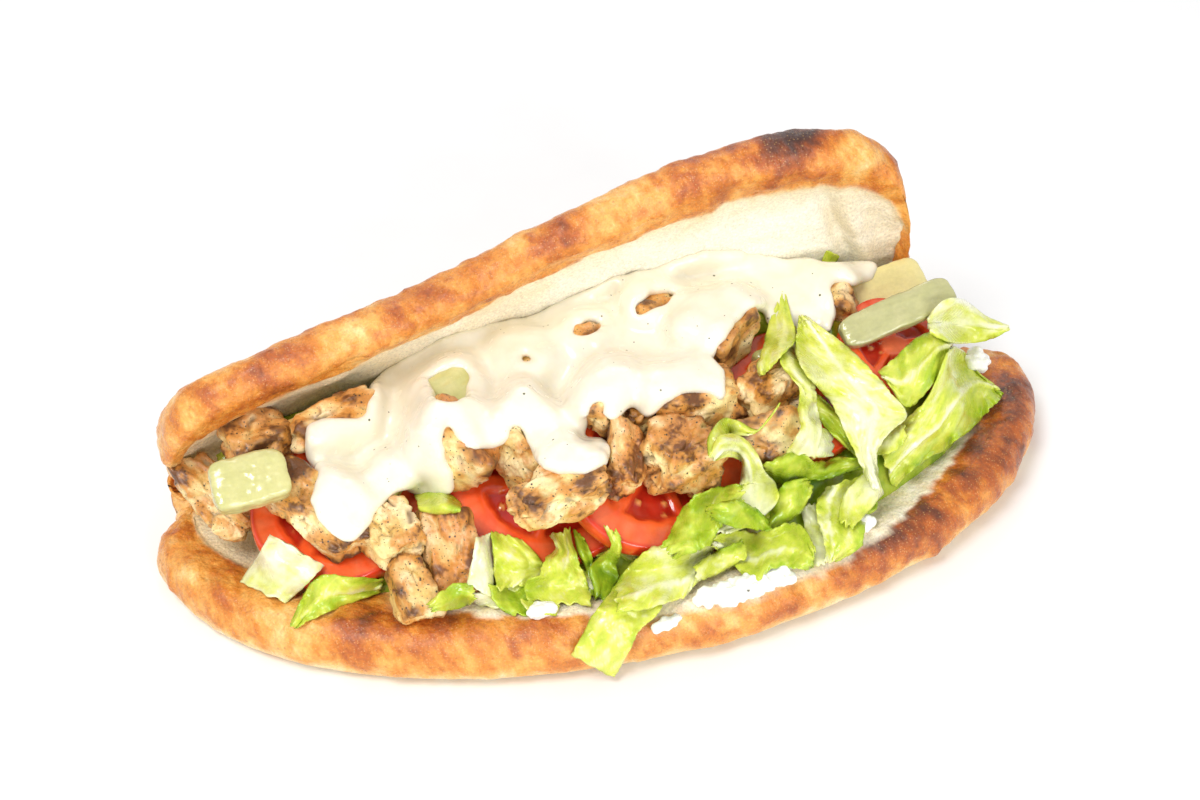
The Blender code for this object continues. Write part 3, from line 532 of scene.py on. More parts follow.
def resample(points, start, end, count):
    points = np.array(points)
    run = np.concatenate([[0.0], np.cumsum(np.linalg.norm(np.diff(points, axis=0), axis=1))])
    want = np.linspace(start, run[-1] - end, count)
    return stacked(np.interp(want, run, points[:, 0]), np.interp(want, run, points[:, 1]))


def bread_row(u, top_edge):
    """One cross-section: mid-surface points, inward normals and half thicknesses as arrays."""
    a = math.pi * (1.0 + u)
    rim = np.array([BREAD_MID_X + BREAD_HALF_LENGTH * math.cos(a),
                    BREAD_TIP_Y + BREAD_FRONT_REACH * math.sin(a), 0.0])
    middle = 0.5 * (FOLD_LEFT_X + FOLD_RIGHT_X)
    hx = middle - 0.5 * (FOLD_RIGHT_X - FOLD_LEFT_X) * math.cos(math.pi * u)
    hinge = np.array([hx, fold_y(hx), 0.0])
    fullness = math.sqrt(max(0.0, math.sin(math.pi * min(1.0, max(0.0, u)))))
    rim_half = lerp(END_HALF_THICK, RIM_HALF_THICK, fullness)
    span = np.linalg.norm(hinge - rim)
    t = (np.arange(FLOOR_STEPS) / FLOOR_STEPS) ** STEP_SQUEEZE
    p = rim + (hinge - rim) * t[:, None]
    h = lerp(FLOOR_HALF_THICK, rim_half, np.exp(-((t * span) / RIM_BAND) ** 2))
    p[:, 2] = h
    floor = (p, np.tile([0.0, 0.0, 1.0], (FLOOR_STEPS, 1)), h)
    bend = math.pi - math.radians(TOP_LEAN_DEG + TOP_TWIST_DEG_PER_MM * hx)
    radius = fold_radius(hx)
    t = bend * np.arange(FOLD_STEPS) / (FOLD_STEPS - 1)
    p = stacked(hx, hinge[1] + radius * np.sin(t), FLOOR_HALF_THICK + radius - radius * np.cos(t))
    n = stacked(0.0, -np.sin(t), np.cos(t))
    fold = (p, n, np.full(FOLD_STEPS, FLOOR_HALF_THICK))
    foot = p[-1]
    tx, tall = top_edge
    up = np.array([0.0, math.cos(bend), math.sin(bend)])
    inward = np.array([0.0, -math.sin(bend), math.cos(bend)])
    reach = np.array([tx - hx, 0.0, 0.0]) + up * tall
    t = 1.0 - (1.0 - np.arange(1, TOP_STEPS + 1) / TOP_STEPS) ** STEP_SQUEEZE
    left = (1.0 - t) * np.linalg.norm(reach)
    h = lerp(FLOOR_HALF_THICK, lerp(END_HALF_THICK, TOP_RIM_HALF_THICK, fullness),
             np.exp(-(left / RIM_BAND) ** 2))
    dome = TOP_DOME * fullness * np.sin(math.pi * t ** 0.8)
    p = foot + reach * t[:, None] - inward * dome[:, None]
    top = (p, np.tile(inward, (TOP_STEPS, 1)), h)
    return [np.concatenate([part[k] for part in (floor, fold, top)]) for k in range(3)]


def bread_arrays():
    """Points, quads and, for each point, its way from the two rims and from the ends, and its side."""
    edge = resample(top_outline(), EDGE_SKIP, EDGE_SKIP, BREAD_ROWS)
    rows = [bread_row(i / (BREAD_ROWS - 1), edge[i]) for i in range(BREAD_ROWS)]
    ends = []
    for first, second in ((rows[0], rows[4]), (rows[-1], rows[-5])):
        extra = []
        for k in range(1, END_STEPS + 1):
            a = 0.5 * math.pi * k / (END_STEPS + 0.35)
            p, n, h = first
            out = p - second[0]
            out = out - n * np.sum(out * n, axis=1)[:, None]
            out /= np.linalg.norm(out, axis=1)[:, None]
            extra.append([p + out * (0.95 * h * math.sin(a))[:, None], n, h * math.cos(a)])
        ends.append(extra)
    rows = ends[0][::-1] + rows + ends[1]
    mids = np.array([r[0] for r in rows])
    normals = np.array([r[1] for r in rows])
    halves = np.array([r[2] for r in rows])
    count = mids.shape[1]
    inner = mids + normals * halves[..., None]
    outer = mids - normals * halves[..., None]
    angles = math.pi * (np.arange(CAP_STEPS) + 1) / (CAP_STEPS + 1)
    caps = []
    for tip, before in ((-1, -2), (0, 1)):
        out = mids[:, tip] - mids[:, before]
        out = out - normals[:, tip] * np.sum(out * normals[:, tip], axis=1)[:, None]
        out /= np.linalg.norm(out, axis=1)[:, None]
        h = halves[:, tip][:, None, None]
        arc = mids[:, tip][:, None] + normals[:, tip][:, None] * (h * np.cos(angles)[None, :, None])
        caps.append(arc + out[:, None] * (h * np.sin(angles)[None, :, None]))
    ring = np.concatenate([inner, caps[0], outer[:, ::-1], caps[1][:, ::-1]], axis=1)
    seg = np.linalg.norm(np.diff(mids, axis=1), axis=2)
    run = np.concatenate([np.zeros((len(rows), 1)), np.cumsum(seg, axis=1)], axis=1)
    left = run[:, -1:] - run
    zero_l, zero_r = np.zeros((len(rows), CAP_STEPS)), np.zeros((len(rows), CAP_STEPS))
    from_front = np.concatenate([run, zero_l + run[:, -1:], run[:, ::-1], zero_r], axis=1)
    from_top = np.concatenate([left, zero_l, left[:, ::-1], zero_r + run[:, -1:]], axis=1)
    side = np.concatenate([np.ones_like(run), zero_l + np.cos(angles), -np.ones_like(run),
                           zero_r - np.cos(angles)], axis=1)
    along = np.linalg.norm(np.diff(ring, axis=0), axis=2)
    run_u = np.concatenate([np.zeros((1, ring.shape[1])), np.cumsum(along, axis=0)])
    from_end = np.minimum(run_u, run_u[-1:] - run_u)
    n_rows, n_ring = ring.shape[:2]
    base, nxt = ring_index(n_rows, n_ring)
    quads = stacked(base[:-1], nxt[:-1], nxt[1:], base[1:]).reshape(-1, 4)
    lids = []
    for r, flip in ((0, False), (n_rows - 1, True)):
        line = base[r]
        left_side = [line[k] for k in range(count)]
        right_side = [line[(2 * count + CAP_STEPS - 1 - k) % n_ring] for k in range(count)]
        for k in range(count - 1):
            lids.append((left_side[k], left_side[k + 1], right_side[k + 1], right_side[k]))
        fan_top = [line[count - 1 + k] for k in range(CAP_STEPS + 2)]
        fan_low = [line[(2 * count + CAP_STEPS - 1 + k) % n_ring] for k in range(CAP_STEPS + 2)]
        lids += [tuple(fan_top), tuple(fan_low)]
        if flip:
            lids = [f if i < len(lids) - count - 1 else f[::-1] for i, f in enumerate(lids)]
    ways = (way.ravel() for way in (from_front, from_top, side, from_end))
    return ring.reshape(-1, 3), quads, lids, *ways


# Browned or charred places seen in the photograph: pixel, reach in mm, strength
BREAD_SPOTS = (
    (806, 132, 13, 0.55), (842, 124, 9, 0.40), (776, 146, 11, 0.45), (872, 137, 9, 0.35), (893, 158, 9, 0.30),
    (700, 180, 16, 0.18), (716, 196, 9, 0.22), (660, 208, 12, 0.15), (560, 228, 13, 0.16),
    (486, 262, 11, 0.14),
    (430, 290, 14, 0.20), (404, 303, 8, 0.16), (296, 345, 13, 0.26), (266, 372, 10, 0.22),
    (214, 396, 12, 0.14),
    (1014, 384, 13, 0.55), (1010, 420, 15, 0.34), (984, 448, 14, 0.38), (952, 470, 12, 0.28),
    (1022, 452, 9, 0.24),
    (914, 508, 13, 0.38), (884, 538, 14, 0.36), (866, 560, 11, 0.32), (838, 572, 10, 0.22),
    (900, 560, 8, 0.24),
    (248, 560, 11, 0.40), (226, 548, 9, 0.30), (380, 622, 12, 0.26), (430, 628, 15, 0.30),
    (350, 632, 9, 0.20),
    (490, 638, 13, 0.22), (540, 636, 12, 0.20), (600, 650, 12, 0.20), (700, 640, 12, 0.16),
    (780, 612, 10, 0.20),
    (170, 500, 8, 0.20), (182, 536, 9, 0.16),
)


def make_bread():
    points, quads, lids, front, top, side, end = bread_arrays()
    normal = vertex_normals(points, quads)
    if np.mean(np.sum(normal * (points - points.mean(0)), axis=1)[side < -0.5]) < 0.0:
        normal = -normal
        quads = quads[:, ::-1]
        lids = [f[::-1] for f in lids]
    p = points
    free = step(1.0, 6.0, p[:, 2]) * np.where(normal[:, 2] < -0.75, step(12.0, 20.0, p[:, 2]), 1.0)
    inward = side > 0.3
    rim_front = 17.0 + 4.0 * fbm(p / 19.0, 3) + 2.5 * fbm(p / 6.0, 4)
    rim_top = 8.5 + 3.5 * fbm(p / 17.0, 5) + 1.5 * fbm(p / 5.0, 6)
    rim_end = 11.0 + 3.0 * fbm(p / 13.0, 7)
    edge_way = np.minimum(np.minimum(front - rim_front, top - rim_top), end - rim_end)
    crumb = np.where(side > 0.0, step(-1.2, 1.6, edge_way), 0.0)
    # blisters and lumps of the crust
    d1, _, own1 = cells(p / BIG_BLISTER_MM, 21)
    d2, _, own2 = cells(p / SMALL_BLISTER_MM, 22)
    big = (own1 < 0.42) * np.clip(1.0 - (d1 / (0.30 + 0.28 * own1)) ** 2, 0.0, 1.0) ** 1.5
    small = (own2 < 0.35) * np.clip(1.0 - (d2 / (0.30 + 0.5 * own2)) ** 2, 0.0, 1.0) ** 1.5
    wave = fbm(p / 26.0, 8, 3)
    lumps = fbm(p / 9.0, 9, 3)
    fine = fbm(p / 2.6, 10, 2)
    skin = 1.0 - crumb
    rise = skin * (1.2 * wave + 1.15 * lumps + 0.95 * big + 0.42 * small + 0.24 * fine)
    soft = crumb * (0.7 * fbm(p / 15.0, 12, 3) + 0.28 * fbm(p / 4.0, 13, 2) + 0.10 * fine)
    rise = rise + soft
    # the crumb sits a little below the rolled rim
    rise -= crumb * 0.9 * step(0.0, 3.0, edge_way) * (1.0 - step(10.0, 22.0, edge_way))
    px, py = to_pixels(p)
    wall = inward * step(18.0, 24.0, p[:, 2]) * (p[:, 1] > 0.0)
    # fold in the inner face near the tall end, a groove with a ridge beside it
    for middle, wide, high, lift in ((838.0, 9.0, 28.0, -4.6), (858.0, 12.0, 32.0, 3.0)):
        across = ((px - middle) - 0.35 * (py - 232.0)) / wide
        rise += wall * lift * np.exp(-across ** 2 - ((py - 228.0) / high) ** 2)
    rise += wall * 1.3 * fbm(stacked(p[:, 0] / 30.0, p[:, 1] / 9.0, p[:, 2] / 9.0), 28, 2)
    # cream smeared up the inner face
    smear = wall * step(500.0, 560.0, px) * (1.0 - step(800.0, 850.0, px))
    low_edge = np.interp(px, [500, 560, 620, 680, 740, 800, 850], [330, 285, 262, 240, 222, 205, 215])
    smear = smear * step(-14.0, 10.0, py - low_edge + 14.0 * fbm(p / 8.0, 17, 2))
    stretch = stacked(p[:, 0] / 14.0, p[:, 1] / 5.0, p[:, 2] / 4.0)
    rise += smear * (0.5 + 0.8 * np.abs(fbm(stretch, 18, 3)))
    points = p + normal * (rise * free)[:, None]
    points[:, 2] = np.maximum(points[:, 2], np.minimum(p[:, 2], 0.0))
    # colour
    brown = 0.38 + 0.26 * fbm(p / 22.0, 14, 3) + 0.26 * fbm(p / 6.5, 15, 3) + 0.14 * fine
    brown += 0.10 * fbm(p / 1.2, 16, 2)
    brown += 0.13 * big + 0.10 * small + 0.07 * lumps
    back = step(8.0, 30.0, p[:, 1]) * (side < 0.3)
    brown += 0.06 * back
    under = (1.0 - step(2.5, 9.0, p[:, 2])) * step(0.2, 0.8, -normal[:, 2] + 0.55)
    brown -= 0.26 * under
    rim_line = np.exp(-((np.minimum(front, top) - 6.0) / 9.0) ** 2) * (side > -0.6)
    brown += 0.05 * rim_line
    right_end = step(95.0, 132.0, p[:, 0]) * (p[:, 2] < 24.0)
    brown += 0.03 * right_end
    brown -= 0.10 * np.exp(-((px - 900.0) / 45.0) ** 2 - ((py - 566.0) / 16.0) ** 2)
    tree = tree_of(points, quads)
    for sx, sy, reach, strength in BREAD_SPOTS:
        start, way = pixel_ray(sx, sy)
        hit = tree.ray_cast(start, way)
        if hit[0] is None:
            hit = tree.find_nearest(start + way * CAM_DIST_MM)
        away = np.linalg.norm(p - np.array(hit[0]), axis=1)
        away = away * (1.0 + 0.35 * fbm(p / 5.0, 19, 2))
        brown += 0.75 * strength * np.exp(-(away / (0.8 * reach)) ** 2)
    # a few unseen char marks on the back and underside
    d3, _, own3 = cells(p / CHAR_SPACING_MM, 33)
    brown += 0.30 * back * (own3 < 0.35) * np.exp(-(d3 / 0.22) ** 2) * (0.6 + 0.8 * fbm(p / 4.0, 20, 2))
    crust_stops = (
        (0.00, linear(250, 228, 184)), (0.18, linear(246, 206, 138)), (0.36, linear(236, 170, 84)),
        (0.52, linear(214, 130, 46)), (0.68, linear(178, 90, 32)), (0.84, linear(124, 62, 32)),
        (1.0, linear(70, 42, 34)),
    )
    crust = ramp(crust_stops, np.clip(brown, 0.0, 1.0))
    crumb_tone = fbm(p / 10.0, 23, 3)
    inside_colour = shade((248, 234, 202), (254, 247, 228), 0.9 * crumb_tone)
    # painted shade: the crumb is darkened towards the right end
    inside_colour = inside_colour * (1.0 - 0.09 * step(10.0, 70.0, p[:, 0]))[:, None]
    # painted light: the crumb of the left end, which lies in shade, is tinted warmer and a little darker
    shaded_end = 1.0 - step(-95.0, -35.0, p[:, 0])
    inside_colour = inside_colour * (1.0 - shaded_end[:, None] * np.array([0.0, 0.06, 0.18]))
    warm = np.exp(-(edge_way / 5.0) ** 2) * 0.55
    inside_colour = mix(inside_colour, linear(240, 206, 148),
                        np.clip(warm + 0.2 * fine, 0.0, 0.7) * (edge_way < 14.0))
    inside_colour = mix(inside_colour, linear(251, 247, 232), 0.75 * smear)
    paint = mix(crust, inside_colour, crumb)
    # cream wiped along the front rim
    rim_y = np.interp(px, [420, 480, 560, 640, 700, 760, 820, 880, 940, 990],
                      [606, 616, 612, 618, 606, 592, 572, 536, 478, 410])
    rim_reach = np.interp(px, [400, 430, 560, 660, 700, 800, 860, 960, 1000],
                          [2.0, 5.0, 6.0, 8.0, 10.0, 9.0, 7.0, 5.0, 2.0])
    out = py - rim_y + 9.0 * fbm(p / 6.0, 25, 2)
    cream = (1.0 - step(0.0, 0.9, out / rim_reach)) * step(0.05, 0.3, normal[:, 2])
    cream = cream * (p[:, 1] < 4.0) * (side > -0.2)
    cream = cream * step(380.0, 430.0, px) * (1.0 - step(955.0, 985.0, px)) * (p[:, 2] < 32.0)
    points = points + normal * (0.5 * cream)[:, None]
    paint = mix(paint, shade((240, 226, 190), (252, 246, 228), fbm(p / 3.0, 27, 2)), 0.9 * cream)
    crumb = np.maximum(crumb, 0.6 * cream)
    faces = [tuple(q) for q in quads] + lids
    add_piece("fine_bread", points, faces, CRUST_MAT, ("bread",), paint, {"crumb": crumb})
    return points, quads


# Lumps

def block_radius(d, seed, corners, sharp):
    """Distance to the surface of a many-faced block along the directions d."""
    rng = np.random.default_rng(seed)
    planes = []
    for axis in range(3):
        for sign in (-1.0, 1.0):
            n = rng.normal(0.0, 0.13, 3)
            n[axis] = sign
            planes.append((n / np.linalg.norm(n), rng.uniform(0.88, 1.0)))
    for _ in range(corners):
        n = rng.normal(0.0, 1.0, 3)
        planes.append((n / np.linalg.norm(n), rng.uniform(1.02, 1.28)))
    total = np.zeros(len(d))
    for n, far in planes:
        total += (np.maximum(0.0, d @ n) / far) ** sharp
    return total ** (-1.0 / sharp)


# Pieces of meat: name, browning, orange side, times that the sphere is divided
MEAT = {
    "left": (0.42, 0.25, 6), "back_left": (0.50, 0.15, 5), "hollow": (0.40, 0.30, 5),
    "tail": (0.46, 0.10, 6), "fibre_top": (0.22, 0.25, 6), "fibre_low": (0.25, 0.15, 5),
    "upright": (0.42, 0.60, 6), "red_side": (0.40, 0.85, 5), "crescent": (0.28, 0.15, 6),
    "big": (0.36, 0.20, 6), "big_end": (0.55, 0.60, 6), "mid": (0.45, 0.55, 5),
    "small_red": (0.55, 1.00, 5), "sauced": (0.42, 0.35, 6), "dark_front": (0.62, 0.55, 6),
    "right_top": (0.52, 0.30, 6), "right_low": (0.50, 0.15, 5), "back_mid": (0.50, 0.40, 5),
    "back_right": (0.48, 0.30, 5), "wall_mid": (0.60, 0.20, 5), "wall_left": (0.42, 0.30, 5),
    "wall_far": (0.45, 0.30, 5),
}


MEAT_GROW = {"left": 0.90}
MEAT_GROW_REST = 1.06
SKIN_MM = 0.3
BLOCK_CORNERS = 8
BLOCK_SHARPNESS = 15.0


def make_meat(name, browning, orange, level, seed):
    node_points, _ = node_arrays("chicken_" + name)
    mid, axes, half = own_axes(node_points)
    half = half * MEAT_GROW.get(name, MEAT_GROW_REST) + SKIN_MM
    d, faces = SPHERES[level]
    r = block_radius(d, seed, BLOCK_CORNERS, BLOCK_SHARPNESS)
    r = r * (1.0 + 0.20 * perlin(d * 1.5, seed) + 0.09 * perlin(d * 3.6, seed + 1))
    local = d * r[:, None] * half
    # grain of the meat runs along the long way, a little turned
    turn = 0.5 * math.sin(seed * 1.7)
    grain = local.copy()
    grain[:, 0] = local[:, 0] * math.cos(turn) - local[:, 1] * math.sin(turn)
    grain[:, 1] = local[:, 0] * math.sin(turn) + local[:, 1] * math.cos(turn)
    g = grain + 0.8 * jitter(local, 5.0, seed + 3)
    fibres = 1.0 - np.abs(perlin(g / np.array([9.0, 1.5, 1.5]), seed + 6)) * 2.0
    strands = 1.0 - np.abs(perlin(g / np.array([14.0, 3.4, 3.4]), seed + 7)) * 2.0
    f1, f2, own = cells(g / np.array([13.0, 5.6, 5.6]), seed + 8)
    crack = np.exp(-((f2 - f1) / 0.07) ** 2) * step(-0.05, 0.30, perlin(g / 7.0, seed + 18))
    crags = fbm(local / 3.4, seed + 9, 3)
    pits = fbm(local / 1.3, seed + 10, 2)
    normal, _ = outward_normals(local, faces)
    torn = step(-0.1, 0.35, perlin(local / 9.0, seed + 11))
    rise = 0.50 * crags + 0.15 * pits + torn * (0.40 * fibres + 0.6 * strands) - 1.2 * crack
    rise += 0.25 * (own - 0.5)
    local = local + normal * rise[:, None]
    points = mid + local @ axes
    world_n, inverted = outward_normals(points, faces, mid)
    if inverted:
        faces = faces[:, ::-1]
    # colour
    up = world_n[:, 2]
    tan = shade((230, 190, 108), (252, 232, 166), 0.9 * perlin(local / 4.5, seed + 12))
    tan = mix(tan, linear(252, 232, 184), np.clip(torn * (0.35 + 0.5 * strands), 0.0, 0.8))
    burn = browning - 0.05 + 0.95 * perlin(local / 8.0, seed + 13) + 0.46 * fbm(local / 2.8, seed + 15, 3)
    burn = burn + 0.20 * pits + 0.06 * up
    edge = np.clip(np.linalg.norm(local / half, axis=1) - 0.95, 0.0, 0.5)
    burn = burn + 1.1 * edge - 0.40 * torn * (1.0 - browning)
    gold = step(0.16, 0.62, burn)
    char = step(0.66, 1.12, burn + 0.25 * pits)
    paint = mix(tan, linear(204, 132, 44), 0.82 * gold)
    paint = mix(paint, linear(84, 48, 26), 0.92 * char)
    red_face = axes[2] if abs(axes[2][2]) > 0.4 else axes[1]
    facing = world_n @ (red_face * np.sign(red_face[2] + 1e-6))
    red = orange * step(0.35, 0.85, facing + 0.6 * perlin(local / 6.0, seed + 14))
    paint = mix(paint, linear(196, 104, 34), 0.60 * red * (1.0 - 0.6 * char))
    # painted shade: the cracks between the fibres are darkened, more so where the meat is torn
    paint = mix(paint, linear(84, 48, 30), 0.75 * crack * (0.4 + 0.6 * torn))
    return points, faces, paint


def make_all_meat():
    built = []
    for k, (name, (browning, orange, level)) in enumerate(MEAT.items()):
        points, faces, paint = make_meat(name, browning, orange, level, 100 + 17 * k)
        add_piece("roast_" + name, points, faces, MEAT_MAT, ("chicken_" + name,), paint)
        built.append((points, faces))
    return built


# Pieces of pickle: name, how olive it is, times that the sphere is divided, tint and its share
PICKLES = {
    "pickle_block": (0.22, 6, (206, 198, 138), 0.45), "pickle_bit_left": (0.5, 5, None, 0.0),
    "pickle_pale": (0.1, 5, None, 0.0), "pickle_slice_end": (0.0, 5, (240, 222, 158), 0.65),
    "pickle_slice_long": (0.8, 6, (184, 180, 146), 0.45), "pickle_bit_right": (0.4, 5, None, 0.0),
}
PICKLE_SQUARENESS = 5.0


def make_pickles():
    built = []
    for k, (name, (olive, level, tint, share)) in enumerate(PICKLES.items()):
        seed = 500 + 13 * k
        node_points, _ = node_arrays(name)
        mid, axes, half = own_axes(node_points)
        half = half + SKIN_MM
        d, faces = SPHERES[level]
        total = sum((np.abs(d[:, a]) ** PICKLE_SQUARENESS) for a in range(3))
        local = d * (total ** (-1.0 / PICKLE_SQUARENESS))[:, None] * half
        local[:, 2] += 0.12 * half[2] * np.cos(local[:, 0] / half[0] * 2.0 + seed)
        local += 0.35 * jitter(local, 6.0, seed)
        normal, _ = outward_normals(local, faces)
        ridge = perlin(local / np.array([7.0, 1.8, 1.8]), seed + 4)
        rise = 0.16 * ridge + 0.14 * perlin(local / 2.2, seed + 5) + 0.05 * perlin(local / 0.8, seed + 6)
        local = local + normal * rise[:, None]
        points = mid + local @ axes
        flat = np.abs(normal[:, 2])
        pale = shade((198, 198, 126), (218, 214, 150), perlin(local / 5.0, seed + 7))
        deep = shade((138, 140, 74), (166, 166, 98), perlin(local / 3.0, seed + 8))
        rind = 1.0 - step(0.3, 0.8, flat)
        streak = np.clip(0.5 + 1.2 * perlin(local / np.array([6.0, 1.4, 1.4]), seed + 9), 0, 1)
        darker = 0.85 * rind * (0.3 + olive) + olive * 0.45 + 0.22 * streak * (0.3 + olive)
        paint = mix(pale, deep, np.clip(darker, 0.0, 1.0))
        if tint:
            paint = mix(paint, linear(*tint), share)
        add_piece("cut_" + name, points, faces, PICKLE_MAT, (name,), paint)
        built.append((points, faces))
    return built


# Tomato slices as placed in the solids: name, x, y, z, radius, slope to the front, slope to the right
TOMATOES = (
    ("tomato_left", -83.0, -18.5, 28.5, 26.0, 20.0, -3.0),
    ("tomato_mid", -23.0, -28.5, 32.0, 29.5, 26.0, -2.0),
    ("tomato_right", 6.0, -37.5, 36.2, 29.5, 25.0, 12.0),
    ("tomato_far", 54.6, -26.0, 38.8, 22.0, 22.0, 6.0),
    ("tomato_end", 90.0, -20.0, 44.5, 17.5, 16.0, 6.0),
)
TOMATO_THICK = 6.5
TOMATO_SPOKES = 144
TOMATO_RINGS = 34
TOMATO_FACE_SHARE = 0.955
SEED_SHARE = 0.24
SEED_SPACING_MM = 3.2


def make_tomatoes():
    built = []
    for k, (name, x, y, z, radius, front, side) in enumerate(TOMATOES):
        seed = 700 + 19 * k
        half = 0.5 * TOMATO_THICK
        angle = np.linspace(0.0, 2.0 * math.pi, TOMATO_SPOKES, endpoint=False)
        # centre to rim on the upper face, round the skin, back to the centre below
        face_r = np.linspace(0.02, TOMATO_FACE_SHARE, TOMATO_RINGS)
        rings = [(r, 1.0, 1.0) for r in face_r]
        bulge = np.linspace(0.0, math.pi, 13)[1:-1]
        rings += [(0.962 + 0.038 * math.sin(a), math.cos(a), 0.0) for a in bulge]
        rings += [(r, -1.0, 1.0) for r in face_r[::-1]]
        rr, sheet, is_face = (column[:, None] * np.ones(TOMATO_SPOKES) for column in np.array(rings).T)
        a = np.ones(len(rings))[:, None] * angle
        wobble = 1.0 + 0.025 * np.sin(3.0 * a + seed) + 0.012 * np.sin(5.0 * a + 2.0 * seed)
        px = rr * radius * wobble * np.cos(a)
        py = rr * radius * wobble * np.sin(a)
        flat = stacked(px, py, 0.0)
        chambers = 5 + k % 2
        phase = a * chambers / 2.0 + 0.35 * np.sin(2.0 * a + seed) + 0.25 * perlin(flat / 9.0, seed)
        wallness = np.abs(np.sin(phase))
        septum = 1.0 - step(0.16, 0.42, wallness * rr / 0.55)
        ring_wall = step(0.63, 0.70, rr + 0.03 * perlin(flat / 4.0, seed + 1))
        core_part = 1.0 - step(0.20, 0.30, rr + 0.05 * perlin(flat / 5.0, seed + 2))
        firm = np.clip(np.maximum(np.maximum(septum, ring_wall), core_part), 0.0, 1.0)
        gel = (1.0 - firm) * is_face
        scatter = stacked(px / SEED_SPACING_MM, py / SEED_SPACING_MM, 0.5)
        d, _, own = cells(scatter, seed + 3)
        seeds = (own < SEED_SHARE) * np.clip(1.0 - (d / 0.34) ** 2, 0.0, 1.0) * gel
        pz = sheet * half
        dip = is_face * (1.1 * gel - 0.8 * seeds + 0.12 * perlin(flat / 2.0, seed + 4))
        pz = pz - np.sign(sheet) * dip
        pz += np.where(is_face > 0.5, 0.0, 0.08 * perlin(stacked(px, py, pz) / 3.0, seed + 5))
        local = stacked(px, py, pz).reshape(-1, 3)
        tilt = Matrix.Rotation(math.radians(side), 3, "Y") @ Matrix.Rotation(math.radians(front), 3, "X")
        local = local + 0.25 * jitter(local, 14.0, seed + 6)
        points = local @ np.array(tilt).T + np.array([x, y, z])
        base, nxt = ring_index(len(rings), TOMATO_SPOKES)
        quads = stacked(base[:-1], base[1:], nxt[1:], nxt[:-1]).reshape(-1, 4)
        lids = [tuple(base[0]), tuple(base[-1][::-1])]
        skin = (1.0 - is_face).ravel()
        tone = fbm(local / 6.0, seed + 9, 3)
        flesh = shade((232, 64, 24), (250, 108, 46), 0.8 * tone - 0.05)
        spread = stacked(a * 9.0, rr * 6.0, sheet)
        radial = np.clip(0.5 + 0.9 * perlin(spread, seed + 10), 0.0, 1.0).ravel()
        flesh = mix(flesh, linear(246, 150, 110), 0.30 * radial * (rr.ravel() > 0.74))
        flesh = mix(flesh, linear(240, 140, 104), 0.5 * core_part.ravel())
        jelly = shade((150, 20, 14), (196, 44, 22), tone)
        paint = mix(flesh, jelly, gel.ravel())
        paint = mix(paint, linear(230, 160, 84), 0.75 * np.clip(seeds.ravel() * 1.6, 0, 1))
        paint = mix(paint, shade((222, 46, 22), (240, 80, 38), tone), skin)
        line = np.exp(-((rr.ravel() - TOMATO_FACE_SHARE) / 0.02) ** 2)
        paint = mix(paint, linear(198, 30, 18), 0.6 * line)
        faces = [tuple(q) for q in quads] + lids
        add_piece("cut_" + name, points, faces, TOMATO_MAT, (name,), paint)
        built.append((points, quads))
    return built


# Sheets and leaves

def curve_points(line, t):
    """Smooth path through the points at the places t from 0 to 1."""
    line = np.asarray(line, float)
    last = len(line) - 1
    s = np.clip(t * last, 0.0, last - 1e-6)
    k = s.astype(int)
    f = (s - k)[:, None]
    a, b, c, d = (line[np.clip(k + j, 0, last)] for j in (-1, 0, 1, 2))
    low_terms = 2 * b + (c - a) * f + (2 * a - 5 * b + 4 * c - d) * f * f
    return 0.5 * (low_terms + (3 * b - a - 3 * c + d) * f ** 3)


def grid_normals(g):
    du = np.gradient(g, axis=0)
    dv = np.gradient(g, axis=1)
    n = np.cross(du, dv)
    return n / np.maximum(1e-9, np.linalg.norm(n, axis=2))[..., None]


def closed_sheet(g, thick, paint):
    """Solid sheet round a grid of middle points."""
    n = grid_normals(g)
    half = 0.5 * thick[..., None]
    over, under = g + n * half, g - n * half
    points = np.concatenate([over.reshape(-1, 3), under.reshape(-1, 3)])
    return points, sheet_faces(*g.shape[:2]), np.concatenate([paint.reshape(-1, 3)] * 2)


LEAF_PALE = linear(240, 241, 202)
LEAF_LIGHT = linear(214, 221, 84)
LEAF_MID = linear(164, 192, 40)
LEAF_DEEP = linear(88, 134, 22)
LEAF_STOPS = ((0.0, LEAF_PALE), (0.35, LEAF_LIGHT), (0.70, LEAF_MID), (1.05, LEAF_DEEP))


